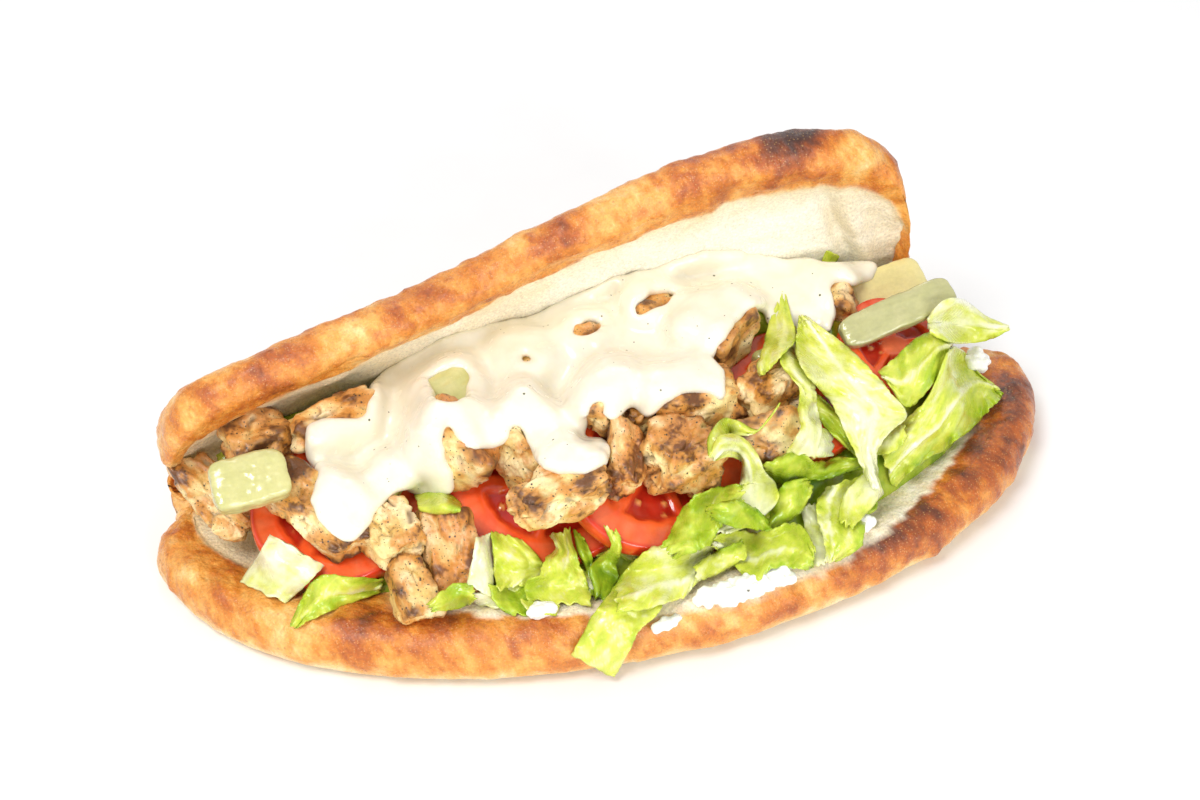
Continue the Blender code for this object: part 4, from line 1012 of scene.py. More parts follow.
def leaf_grid(line, widths, roll, ruffle, seed, along, across, green, rib, frill, ends, twist):
    """Middle surface, thickness and colour of one cutting laid along a path."""
    t = np.linspace(0.0, 1.0, along)
    s = np.linspace(-1.0, 1.0, across)
    T, S = np.meshgrid(t, s, indexing="ij")
    ragged = stacked(0.0, S * 2.3 + seed, 0.0)
    T2 = np.clip(T + ends * (perlin(ragged, seed) * (1.0 - T) + perlin(ragged + 9.0, seed) * T), 0.0, 1.0)
    p = curve_points(line, T2.ravel()).reshape(along, across, 3)
    a = curve_points(line, np.clip(T2.ravel() + 0.02, 0, 1)) - curve_points(line,
                                                                            np.clip(T2.ravel() - 0.02, 0, 1))
    a = (a / np.maximum(1e-9, np.linalg.norm(a, axis=1))[:, None]).reshape(along, across, 3)
    half = curve_points([(w, 0.0, 0.0) for w in widths], T2.ravel())[:, 0].reshape(along, across)
    way = np.cross(np.array([0.0, 0.0, 1.0]), a)
    size = np.linalg.norm(way, axis=2)[..., None]
    way = np.where(size < 0.2, np.array([1.0, 0.0, 0.0]), way / np.maximum(size, 1e-9))
    normal = np.cross(a, way)
    turn = np.radians(roll + twist * (T - 0.5))[..., None]
    way = way * np.cos(turn) + normal * np.sin(turn)
    normal = np.cross(a, way)
    length = float(np.sum(np.linalg.norm(np.diff(curve_points(line, t), axis=0), axis=1)))
    L = T * length
    edge = np.abs(S)
    rag = 1.0 + 0.10 * perlin(stacked(L / 9.0, np.sign(S) * 3.0, 0.0), seed + 1)
    rag += 0.07 * perlin(stacked(L / 2.6, np.sign(S) * 5.0, 0.0), seed + 2) * edge ** 3
    phase = 0.9 * np.sign(S)
    wave = ruffle * edge ** 1.6 * np.sin(L / 5.2 + seed + phase)
    wave += 0.55 * frill * edge ** 4 * np.sin(L / 1.9 + 2.0 * seed + phase)
    wave += 0.35 * frill * edge ** 6 * np.sin(L / 0.95 + 3.0 * seed)
    flat = stacked(L, S * half, 0.0)
    quilt = perlin(flat / 4.2, seed + 3) * 0.55 + perlin(flat / 1.9, seed + 4) * 0.18
    lift = wave - 0.12 * half * S * S + quilt * (0.3 + 0.7 * edge)
    g = p + way * (half * S * rag)[..., None] + normal * lift[..., None]
    # midrib and side veins
    mid_line = np.exp(-((S - 0.06 * np.sin(3.0 * T)) * half / (0.9 + 1.6 * rib)) ** 2) * rib
    side_way = (L - 0.75 * edge * half * 1.3) / 5.5
    vein = thin_lines(side_way, 0.085) * (1.0 - 0.6 * edge)
    side_way = (L * 0.7 + 1.2 * S * half + 3.0 * perlin(flat / 6.0, seed + 5)) / 2.6
    small = thin_lines(side_way, 0.10) * 0.4
    thick = 0.45 + 1.5 * mid_line + 0.22 * vein
    thick *= 0.6 + 0.4 * (1.0 - edge ** 4)
    tone = green + 0.42 * edge ** 1.4 - 0.55 * mid_line - 0.14 * vein - 0.05 * small
    tone += 0.22 * perlin(flat / 8.0, seed + 6) + 0.10 * perlin(flat / 2.5, seed + 7) - 0.15
    paint = ramp(LEAF_STOPS, tone)
    return g, thick, paint


# Leaves seen in the photograph, lowest first. Each row is a left and a right edge point in pixels and how
# far the leaf stands off what carries it, in mm. Then: greenness at the start and end, greenness added left
# and right, ruffle left and right, ragged edge in pixels, bow across, rib place from -1 to 1 or None, seed.
HEAP_LEAVES = (
    (((470, 592, 498, 596, 1.5), (474, 604, 506, 610, 1.5)), (0.05, 0.10, 0, 0.1), (0, 0), 1.5, 0.6, None,
     3),
    (((476, 538, 493, 533, 2), (472, 560, 494, 562, 2), (467, 584, 493, 598, 1.5)), (0.06, 0.02, 0, 0.05),
     (0, 0), 1.5, 1.0, None, 4),
    (((489, 586, 523, 582, 2), (494, 602, 530, 600, 2), (507, 614, 536, 616, 1.5)), (0.62, 0.75, 0, 0.1),
     (0.5, 1.0), 3, 1.2, None, 5),
    (((491, 531, 522, 540, 2), (493, 552, 541, 560, 3), (494, 570, 541, 574, 3.5),
     (496, 589, 523, 586, 2.5)), (0.40, 0.32, 0.1, 0.1), (0.3, 0.8), 2.5, 1.6, None, 6),
    (((573, 528, 584, 538, 2), (578, 552, 592, 556, 3), (586, 570, 594, 576, 3), (588, 592, 596, 598, 2)),
     (0.75, 0.85, 0, 0), (0.4, 0.4), 2, 0.8, None, 7),
    (((604, 526, 620, 534, 3), (611, 546, 621, 550, 3.5), (598, 558, 617, 563, 3), (590, 570, 617, 580, 3),
     (594, 596, 606, 601, 2)), (0.42, 0.9, 0, 0.1), (0.5, 0.5), 3, 1.0, None, 8),
    (((549, 535, 571, 529, 3), (556, 548, 574, 550, 4), (544, 560, 581, 566, 5), (540, 574, 587, 582, 5.5),
     (524, 584, 591, 594, 4.5), (528, 600, 590, 606, 3)), (0.36, 0.40, 0.12, 0.15), (0.9, 0.6), 4, 1.8,
     None, 9),
    (((520, 600, 560, 604, 2), (528, 612, 556, 616, 1.5)), (0.45, 0.5, 0, 0), (0.6, 0.3), 2, 0.8, None, 10),
    (((616, 584, 665, 602, 4), (606, 598, 656, 616, 4.5), (594, 613, 639, 631, 5),
     (583, 634, 630, 650, 3.5), (571, 655, 614, 678, 2.5)), (0.42, 0.34, 0.05, 0.05), (0.4, 0.5), 2.0, 1.5,
     None, 11),
    (((616, 582, 618, 611, 5), (630, 565, 641, 610, 6), (653, 547, 664, 604, 7), (680, 546, 684, 597, 6),
     (702, 538, 694, 586, 5), (718, 531, 706, 572, 4)), (0.40, 0.02, 0.15, 0.12), (1.0, 0.8), 3.0, 2.5,
     0.35, 12),
    (((800, 425, 806, 452, 3), (815, 426, 818, 457, 3), (832, 432, 832, 456, 2)), (0.06, 0.12, 0, 0.1),
     (0.2, 0.2), 1.5, 1, None, 13),
    (((806, 392, 819, 395, 5), (812, 408, 838, 414, 5), (826, 428, 848, 436, 4), (842, 444, 858, 458, 3)),
     (0.48, 0.62, 0, 0.1), (0.3, 0.5), 2.0, 1.2, None, 14),
    (((800, 505, 815, 504, 4), (804, 525, 824, 528, 4), (808, 545, 828, 548, 4), (812, 566, 826, 564, 3)),
     (0.10, 0.08, 0.1, 0), (0.3, 0.3), 1.5, 1.5, None, 15),
    (((762, 464, 768, 479, 4), (781, 457, 783, 485, 6), (799, 448, 799, 480, 7), (815, 461, 814, 480, 7),
     (836, 458, 831, 478, 6), (858, 458, 847, 472, 5), (869, 462, 866, 469, 4)), (0.60, 0.62, 0.05, 0.25),
     (1.6, 0.8), 3.5, 1.5, None, 16),
    (((826, 488, 871, 472, 6), (816, 506, 878, 503, 8), (819, 526, 866, 520, 8), (825, 546, 861, 546, 6),
     (826, 562, 838, 560, 4)), (0.46, 0.40, -0.12, 0.25), (0.8, 1.2), 3.0, 3.0, -0.5, 17),
    (((764, 527, 771, 530, 5), (769, 508, 791, 520, 7), (779, 489, 803, 509, 8), (793, 480, 811, 495, 7),
     (806, 479, 812, 486, 5)), (0.60, 0.52, 0.15, 0.05), (0.8, 0.6), 2.5, 3.0, None, 18),
    (((712, 538, 714, 548, 4), (730, 531, 732, 564, 6), (752, 532, 754, 582, 7), (772, 529, 772, 569, 8),
     (792, 522, 792, 568, 8), (806, 531, 806, 570, 6), (815, 550, 812, 568, 4)), (0.30, 0.58, 0.05, 0.18),
     (0.8, 1.0), 3.0, 2.0, 0.1, 19),
    (((780, 403, 777, 409, 3), (768, 419, 763, 427, 4), (757, 430, 750, 435, 4.5), (738, 421, 734, 435, 5),
     (722, 419, 728, 437, 5.5), (709, 436, 722, 447, 5.5), (708, 456, 718, 454, 5)),
     (0.42, 0.36, 0.2, -0.05), (0.3, 0.3), 1.0, 1.0, None, 20),
    (((709, 456, 716, 460, 5), (718, 437, 728, 457, 6.5), (738, 435, 741, 461, 7), (756, 451, 742, 473, 7),
     (764, 470, 738, 487, 7), (776, 484, 728, 493, 7), (777, 502, 722, 509, 6.5), (757, 521, 716, 523, 6),
     (732, 533, 710, 531, 5)), (0.30, -0.02, 0.12, 0.0), (0.5, 0.4), 1.5, 1.8, 0.1, 21),
    (((743, 485, 741, 506, 7), (722, 486, 728, 515, 8), (700, 494, 720, 529, 8), (684, 506, 708, 546, 8),
     (673, 528, 695, 551, 6), (662, 546, 677, 557, 4)), (0.50, 0.55, 0.18, 0.18), (1.5, 1.3), 4.5, 2.2,
     None, 22),
    (((782, 321, 796, 326, 4), (780, 345, 798, 350, 5), (782, 366, 813, 378, 6), (799, 388, 816, 394, 6),
     (798, 410, 817, 408, 6), (800, 430, 822, 432, 5), (786, 452, 815, 457, 4)), (0.30, 0.10, 0.22, 0.02),
     (0.9, 0.4), 2.0, 1.5, None, 23),
    (((781, 291, 785, 292, 3), (774, 309, 791, 315, 4), (767, 330, 796, 338, 5), (763, 348, 784, 353, 5),
     (757, 366, 772, 367, 4.5), (760, 375, 765, 374, 4)), (0.40, 0.32, 0.05, 0.1), (0.5, 0.5), 2.0, 1.0,
     None, 24),
    (((877, 370, 888, 383, 4), (897, 356, 906, 407, 6), (912, 341, 927, 391, 7), (932, 332, 945, 363, 6),
     (951, 339, 953, 348, 4)), (0.45, 0.50, 0.1, 0.1), (1.0, 0.8), 2.5, 2.0, 0.0, 25),
    (((927, 318, 930, 333, 5), (942, 301, 948, 342, 6), (962, 299, 974, 343, 7), (986, 316, 996, 337, 7),
     (1007, 325, 1010, 330, 6)), (0.16, 0.24, -0.05, 0.25), (0.3, 0.5), 1.2, 2.2, 0.0, 27),
    (((880, 446, 893, 489, 3), (904, 421, 914, 469, 5), (928, 397, 941, 451, 7), (948, 352, 969, 431, 8),
     (962, 350, 986, 413, 8), (975, 369, 999, 400, 6.5), (990, 382, 1001, 392, 5)),
     (0.34, 0.44, 0.05, 0.30), (1.0, 1.8), 3.0, 2.5, 0.15, 28),
    (((868, 470, 884, 492, 4), (846, 492, 866, 514, 5), (838, 520, 852, 528, 3)), (0.12, 0.35, 0.1, 0.1),
     (0.6, 0.8), 2.5, 1.5, None, 51),
    (((742, 540, 748, 556, 3), (716, 552, 722, 572, 4), (694, 566, 698, 582, 3)), (0.45, 0.25, 0.2, 0.1),
     (1.2, 0.6), 3.0, 1.4, None, 52),
    (((706, 508, 712, 520, 6), (730, 500, 740, 528, 7), (752, 506, 760, 530, 6), (768, 520, 770, 532, 4)),
     (0.62, 0.75, 0.1, 0.1), (1.4, 0.8), 3.5, 1.6, None, 53),
    (((862, 440, 868, 456, 5), (880, 424, 892, 452, 7), (900, 418, 908, 440, 5)), (0.10, 0.30, 0.1, 0.2),
     (0.6, 1.2), 3.0, 1.8, None, 54),
    (((800, 317, 806, 316, 6), (797, 334, 827, 331, 7), (796, 352, 851, 350, 8), (803, 370, 873, 372, 9),
     (818, 388, 891, 393, 9), (832, 404, 907, 415, 8.5), (843, 428, 891, 431, 7), (857, 458, 876, 455, 6),
     (870, 485, 882, 492, 3)), (0.34, -0.05, 0.16, 0.08), (0.7, 0.8), 2.5, 2.4, 0.25, 29),
    (((822, 262, 832, 268, 1.5), (826, 250, 840, 256, 1.5)), (0.5, 0.5, 0, 0), (0.2, 0.2), 1.0, 0.5, None,
     30),
    (((428, 604, 433, 611, 2), (442, 591, 451, 610, 3), (458, 583, 467, 606, 3), (473, 585, 475, 599, 2)),
     (0.55, 0.6, 0.1, 0.1), (0.8, 0.8), 2.5, 1.2, None, 31),
)
LOOSE_LEAVES = (
    ("leaf_square_rib", (((270, 534, 324, 566, 3), (259, 554, 308, 583, 3.5), (240, 582, 286, 603, 2)),
     (0.03, 0.16, 0.0, 0.0), (0.1, 0.1), 1.2, 0.8, None, 41)),
    ("leaf_rim_strip", (((383, 579, 380, 593, 2), (352, 577, 356, 601, 3), (319, 576, 331, 611, 3),
     (301, 600, 313, 619, 2), (290, 624, 296, 628, 1.5)), (0.50, 0.56, 0.1, 0.05), (0.6, 0.4), 2.0, 1.5,
     0.2, 42)),
    ("leaf_curl", (((414, 494, 420, 511, 2), (432, 491, 436, 514, 3), (448, 493, 450, 513, 3),
     (462, 504, 460, 512, 2)), (0.35, 0.65, 0.2, -0.1), (0.3, 0.3), 1.0, 2.0, None, 43)),
    ("leaf_tip_left", (((216, 455, 219, 463, 0.5), (229, 448, 232, 459, 0.8), (241, 445, 243, 453, 0.5)),
     (0.55, 0.6, 0, 0), (0.1, 0.1), 0.6, 0.3, None, 44)),
)


def add_sheets(name, sheets, nodes=()):
    """Adds several leaves as one piece."""
    points, faces = joined([sheet[:2] for sheet in sheets])
    add_piece(name, points, faces, LEAF_MAT, nodes, np.concatenate([sheet[2] for sheet in sheets]))


def evened(wide):
    """Each inner place of a field, taken together with its four neighbours."""
    return (wide[1:-1, 1:-1] * 2 + wide[:-2, 1:-1] + wide[2:, 1:-1] + wide[1:-1, :-2] + wide[1:-1, 2:]) / 6.0


def blur(field, turns):
    for _ in range(turns):
        field = evened(np.pad(field, 1, mode="edge"))
    return field


def shrink(field, turns, slope):
    """Spreads the near places over their neighbours, falling off by the slope."""
    for _ in range(turns):
        wide = np.pad(field, 1, mode="edge")
        around = np.minimum.reduce([wide[:-2, 1:-1], wide[2:, 1:-1], wide[1:-1, :-2], wide[1:-1, 2:]])
        field = np.minimum(field, around + slope)
    return field


LEAF_SPACING_MM = 0.75
LEAF_SLACK = 1.2
LEAF_GAP_BACK_MM = 45.0
FAR = 1e9


def edge_rag(run, lane, seed):
    """Waver of one edge of a leaf, in parts of its raggedness."""
    coarse, fine = (perlin(stacked(run / size, lane, 0.0), seed + k) for k, size in enumerate((4.2, 1.5)))
    return 0.6 * coarse + 0.5 * fine


def end_rag(across, lane, seed):
    """Waver of one end of a leaf."""
    return perlin(stacked(across * 2.6, lane, 0.0), seed)


def photo_leaf(spec, trees):
    """Leaf whose edges follow the photograph and which lies on whatever is under it."""
    rows, (g0, g1, gl, gr), (ruffle_l, ruffle_r), ragged, bow, rib, seed = spec
    rows = np.array(rows, float)
    mid = 0.5 * (rows[:, 0:2] + rows[:, 2:4])
    length = float(np.sum(np.linalg.norm(np.diff(mid, axis=0), axis=1))) * PX_MM * LEAF_SLACK
    width = float(np.linalg.norm(rows[:, 0:2] - rows[:, 2:4], axis=1).max()) * PX_MM * LEAF_SLACK
    along = max(14, int(length / LEAF_SPACING_MM))
    across = max(9, int(width / LEAF_SPACING_MM)) | 1
    t = np.linspace(0.0, 1.0, along)
    s = np.linspace(-1.0, 1.0, across)
    T, S = np.meshgrid(t, s, indexing="ij")
    L = T * length
    edge = np.abs(S)
    path = curve_points(rows, t)
    left, right, lift = path[:, 0:2], path[:, 2:4], path[:, 4]
    way = right - left
    size = np.linalg.norm(way, axis=1)[:, None]
    way = way / np.maximum(size, 1e-6)
    left = left - way * (ragged * edge_rag(t * length, 0.0, seed))[:, None]
    right = right + way * (ragged * edge_rag(t * length, 5.0, seed))[:, None]
    u = 0.5 * (S + 1.0)
    # ends are torn, not ruled
    run = np.gradient(0.5 * (left + right), axis=0)
    run /= np.maximum(1e-6, np.linalg.norm(run, axis=1))[:, None]
    torn = end_rag(S, 0.0, seed + 2) * (T ** 6) - end_rag(S, 4.0, seed + 2) * ((1.0 - T) ** 6)
    pix = left[:, None] * (1.0 - u[..., None]) + right[:, None] * u[..., None]
    pix = pix + run[:, None] * (torn * (1.0 + 1.6 * ragged))[..., None]
    start = np.array(CAM_AT)
    back, rgt, up = (np.array(v) for v in (CAM_BACK, CAM_RIGHT, CAM_UP))
    sideways = (pix[..., 0:1] - PHOTO_WIDE / 2) / CAM_K
    downwards = (pix[..., 1:2] - PHOTO_HIGH / 2) / CAM_K
    rays = -back + rgt * sideways - up * downwards
    rays /= np.linalg.norm(rays, axis=2)[..., None]
    depth = np.full((along, across), np.inf)
    origin = Vector(start)
    for i in range(along):
        for j in range(across):
            ray = Vector(rays[i, j])
            for tree in trees:
                hit = tree.ray_cast(origin, ray)
                if hit[0] is not None:
                    depth[i, j] = min(depth[i, j], hit[3])
    floor_depth = (1.0 - start[2]) / rays[..., 2]
    missing = np.isinf(depth)
    behind = np.min(np.where(missing, FAR, depth)) + LEAF_GAP_BACK_MM
    depth = np.where(missing, np.minimum(floor_depth, behind), depth)
    near = shrink(depth, 3, 0.7)
    near = blur(near, 6 + along // 8)
    near = np.minimum(near, shrink(depth, 1, 0.4) + 2.2)
    near = blur(near, 3)
    flat = stacked(L, S * width * 0.5, 0.0)
    wave = lift[:, None] + bow * (1.0 - S * S) - 0.5 * bow
    side = np.where(S < 0, ruffle_l, ruffle_r)
    phase = 1.3 * np.sign(S)
    sway = L / 2.6 + seed + phase + 1.2 * perlin(flat / 7.0, seed + 12)
    wave = wave + side * edge ** 1.5 * np.sin(sway) * 1.7
    teeth = 1.1 * np.sin(L / 1.15 + 2.0 * seed + phase) + 0.5 * np.sin(L / 0.62 + seed)
    wave = wave + side * edge ** 4 * teeth
    quilt = 1.0 * perlin(flat / 5.5, seed + 3) + 0.42 * perlin(flat / 2.3, seed + 4)
    quilt = quilt + 0.14 * perlin(flat / 1.1, seed + 5)
    wave = wave + quilt * (0.4 + 0.6 * edge)
    fold = perlin(stacked(L / 9.0, S * 1.2, 0.0), seed + 8)
    wave = wave + 2.4 * fold * min(1.0, width / 12.0)
    g = start + rays * (near - np.maximum(wave, 0.5))[..., None]
    half = 0.5 * width
    if rib is None:
        mid_line = np.zeros_like(S)
    else:
        mid_line = np.exp(-((S - rib - 0.10 * np.sin(2.0 * T + seed)) * half / 1.3) ** 2) * (0.85 - 0.35 * T)
    from_rib = np.abs(S - (rib if rib is not None else -1.2)) * half
    side_way = (L + 1.05 * from_rib) / 4.2 + 0.35 * perlin(flat / 6.0, seed + 9)
    vein = thin_lines(side_way, 0.075)
    net = (L * 0.8 - 1.3 * from_rib) / 2.1 + 0.5 * perlin(flat / 3.0, seed + 10)
    small = thin_lines(net, 0.09) * 0.5
    bladed = step(0.05, 0.35, g0 + (g1 - g0) * T)
    n = grid_normals(g)
    flip = np.sign(np.sum(n * (start - g), axis=2))[..., None]
    g = g + n * flip * (0.30 * mid_line - 0.16 * vein * bladed)[..., None]
    thick = 0.42 + 1.1 * mid_line + 0.5 * (1.0 - bladed) * (1.0 - edge ** 3)
    tone = g0 + (g1 - g0) * T + gl * np.maximum(0.0, -S) ** 1.5 + gr * np.maximum(0.0, S) ** 1.5
    tone = tone - 0.40 * mid_line - (0.13 * vein + 0.06 * small) * bladed
    # painted highlight and shade: the leaf is paler where its quilting bulges towards the camera and greener
    # in the dips
    tone = tone + 0.24 * perlin(flat / 7.0, seed + 6) + 0.13 * perlin(flat / 2.2, seed + 7) - 0.10 * quilt
    stripes = perlin(stacked(L / 12.0, S * half / 0.8, 0.0), seed + 11)
    tone = tone + 0.05 * stripes * (1.0 - bladed)
    paint = ramp(LEAF_STOPS, tone)
    return closed_sheet(g, thick, paint)


def make_leaves(tree):
    sheets, trees = [], [tree]
    for name, spec in [(None, spec) for spec in HEAP_LEAVES] + list(LOOSE_LEAVES):
        below = [tree_of(*node_arrays(name))] if name == "leaf_tip_left" else trees
        points, faces, colour = photo_leaf(spec, below)
        trees.append(tree_of(points, faces))
        if name is None:
            sheets.append((points, faces, colour))
        else:
            add_piece("fresh_" + name, points, faces, LEAF_MAT, (name,), colour)
    add_sheets("lettuce_leaves", sheets, ("lettuce_heap",))


MOUND_COLUMNS = 190
MOUND_LINES = 64
MOUND_LEFT_X = -101.0
MOUND_RIGHT_X = 114.0
MOUND_FOOT_Z = 16.0
MOUND_SINK_MM = 7.0
MOUND_LEFT_RISE = 30.0
MOUND_RIGHT_RISE = 44.0
MOUND_TURNS = 3


def make_core(bread_tree, above):
    """Mound of shredded salad under everything, as a fine grid with leafy folds."""
    grid = np.zeros((MOUND_COLUMNS, MOUND_LINES, 3))
    base = np.zeros((MOUND_COLUMNS, MOUND_LINES))
    for i, x in enumerate(np.linspace(MOUND_LEFT_X, MOUND_RIGHT_X, MOUND_COLUMNS)):
        reach = lerp(59.5, 66.5, float(smooth((x + 52.0) / 12.0)))
        y0 = 3.0 - reach * math.sqrt(max(0.0, 1.0 - ((x - 6.0) / 124.0) ** 2))
        y1 = fold_y(x) - 3.0
        for j, y in enumerate(np.linspace(y0, y1, MOUND_LINES)):
            low = bread_tree.ray_cast(Vector((x, y, 26.0)), Vector((0.0, 0.0, -1.0)))
            z0 = low[0].z if low[0] is not None else 12.0
            edge = min(1.0, (j / (MOUND_LINES - 1)) / 0.10, min(i, MOUND_COLUMNS - 1 - i) / 7.0)
            rise = lerp(MOUND_LEFT_RISE, MOUND_RIGHT_RISE, float(smooth((x + 105.0) / 130.0)))
            rise *= lerp(1.0, 0.7, float(smooth((x - 80.0) / 45.0)))
            z = MOUND_FOOT_Z + rise * float(smooth((y + 78.0) / 75.0)) - MOUND_SINK_MM
            hit = above.ray_cast(Vector((x, y, z0 + 1.0)), Vector((0.0, 0.0, 1.0)))
            if hit[0] is not None:
                z = min(z, hit[0].z + 0.6)
            grid[i, j] = (x, y, lerp(z0 - 0.5, max(z0 + 1.0, z), math.sqrt(edge)))
            base[i, j] = z0 - 1.0
    for _ in range(MOUND_TURNS):
        grid[1:-1, 1:-1, 2] = evened(grid[..., 2])
    folds = 1.0 - np.abs(perlin(grid / np.array([7.0, 5.0, 6.0]), 61)) * 2.0
    grid[..., 2] += 0.9 * folds + 0.4 * perlin(grid / 2.4, 62)
    grid[..., 2] = np.maximum(grid[..., 2], base + 0.6)
    flat = grid.reshape(-1, 3)
    low = flat.copy()
    low[:, 2] = base.ravel()
    tone = 0.55 + 0.5 * fbm(flat / 7.0, 63, 3) + 0.25 * folds.ravel()
    # painted shade: the mound's colour is darkened to four fifths, as it lies under the other pieces
    paint = ramp(LEAF_STOPS, tone) * 0.8
    faces = sheet_faces(MOUND_COLUMNS, MOUND_LINES)
    return (np.concatenate([flat, low]), faces, np.concatenate([paint, paint])), grid


SHRED_COUNT = 150
SHRED_BACK_Y = -48.0


def shreds(grid):
    """Short curled cuttings strewn over the mound."""
    parts = []
    rng = np.random.default_rng(77)
    rows, cols = grid.shape[:2]
    for k in range(SHRED_COUNT):
        i, j = rng.integers(6, rows - 6), rng.integers(2, cols - 8)
        if j > cols * 0.55 and rng.random() < 0.5:
            j = int(rng.integers(2, int(cols * 0.5)))
        p = grid[i, j] + np.array([0.0, 0.0, 0.6])
        a = rng.uniform(0.0, 2.0 * math.pi)
        size = rng.uniform(4.5, 10.0)
        if p[1] > SHRED_BACK_Y:
            continue
        way = np.array([math.cos(a), math.sin(a), 0.0])
        bow = rng.uniform(0.5, 2.6)
        tip = p + way * size * 0.7 + np.array([0, 0, rng.uniform(-1.0, 1.2)])
        line = [p - way * size * 0.7, p + np.array([0, 0, bow]), tip]
        w = rng.uniform(2.0, 4.6)
        g, thick, paint = leaf_grid(line, (w * 0.7, w, w * 0.7), rng.uniform(-35, 35), rng.uniform(0.2, 1.0),
                                    900 + k, 20, 9,
                                    rng.uniform(0.05, 0.75), rng.uniform(0.0, 0.8), 0.6, 0.1,
                                    rng.uniform(-40, 40))
        parts.append(closed_sheet(g, thick, paint))
    return parts


# Sauce

def melt(points, faces, voxel_mm, turns, factor):
    """Welds overlapping lumps into one skin, and gives its points, faces and normals."""
    data = bpy.data.meshes.new("melt")
    data.from_pydata((points * MM).tolist(), [], faces.tolist())
    lump = bpy.data.objects.new("melt", data)
    bpy.context.scene.collection.objects.link(lump)
    remesh = lump.modifiers.new("melt", "REMESH")
    remesh.mode = "VOXEL"
    remesh.voxel_size = voxel_mm * MM
    relax = lump.modifiers.new("relax", "SMOOTH")
    relax.factor = factor
    relax.iterations = turns
    out = bpy.data.meshes.new_from_object(lump.evaluated_get(bpy.context.evaluated_depsgraph_get()))
    bpy.data.objects.remove(lump, do_unlink=True)
    co = np.zeros(len(out.vertices) * 3)
    out.vertices.foreach_get("co", co)
    skin = co.reshape(-1, 3) / MM
    skin_faces = [tuple(f.vertices) for f in out.polygons]
    bpy.data.meshes.remove(out)
    quads = np.array([f if len(f) == 4 else (*f, f[-1]) for f in skin_faces])
    return skin, skin_faces, vertex_normals(skin, quads)


# Outline of the poured sauce and its openings, in pixels of the photograph
SAUCE_OUTLINE = [
    (312, 428), (330, 420), (347, 423), (363, 423), (371, 408), (374, 390), (386, 375), (402, 364),
    (420, 354), (440, 345), (460, 337), (480, 331), (500, 326), (520, 322), (540, 318), (556, 310),
    (575, 300), (600, 287), (622, 277), (650, 275), (680, 262), (705, 255), (735, 255), (760, 258),
    (790, 262), (815, 264), (845, 267), (874, 268), (866, 279), (852, 281), (838, 277), (824, 282),
    (829, 296), (833, 312), (829, 330), (800, 326), (786, 334), (770, 322), (768, 306), (750, 305),
    (732, 320), (717, 342), (704, 358), (724, 372), (722, 400), (712, 391), (697, 390), (680, 392),
    (666, 398), (654, 410), (646, 418), (642, 404), (634, 398), (624, 406), (612, 418), (606, 412),
    (616, 398), (605, 390), (588, 402), (584, 416), (578, 432), (568, 448), (585, 444), (600, 442),
    (606, 450), (600, 461), (584, 470), (566, 470), (552, 467), (542, 460), (534, 445), (527, 430),
    (517, 421), (508, 424), (503, 440), (490, 445), (470, 444), (460, 434), (450, 416), (443, 424),
    (439, 440), (444, 462), (452, 478), (450, 489), (432, 494), (420, 494), (408, 484), (396, 488),
    (382, 498), (372, 512), (366, 526), (356, 536), (343, 537), (330, 530), (320, 516), (316, 500),
    (321, 480), (320, 468), (312, 458), (309, 442),
]
SAUCE_GAPS = (
    [(425, 386), (430, 375), (450, 366), (470, 367), (474, 378), (468, 402), (454, 409), (436, 403)],
    [(513, 360), (520, 352), (532, 352), (541, 362), (538, 368), (525, 367)],
    [(566, 338), (572, 326), (586, 316), (600, 318), (607, 325), (602, 334), (584, 340)],
    [(632, 318), (636, 304), (648, 292), (660, 289), (676, 288), (678, 296), (670, 310), (656, 312),
     (642, 318)],
    [(758, 264), (762, 259), (769, 259), (771, 265), (766, 269), (760, 269)],
    [(675, 280), (680, 271), (690, 268), (696, 273), (690, 279), (680, 282)],
)
SAUCE_STEP_PX = 4
SAUCE_STEP_MM = 1.8
SAUCE_SWELL_MM = 2.2
SAUCE_BACK_MM = 1.7
SAUCE_DEEPEST_MM = 14.0
SAUCE_TOP_Z = 66.0
SAUCE_MELT = (0.8, 26, 0.6)
CURD_MELT = (0.42, 3, 0.5)


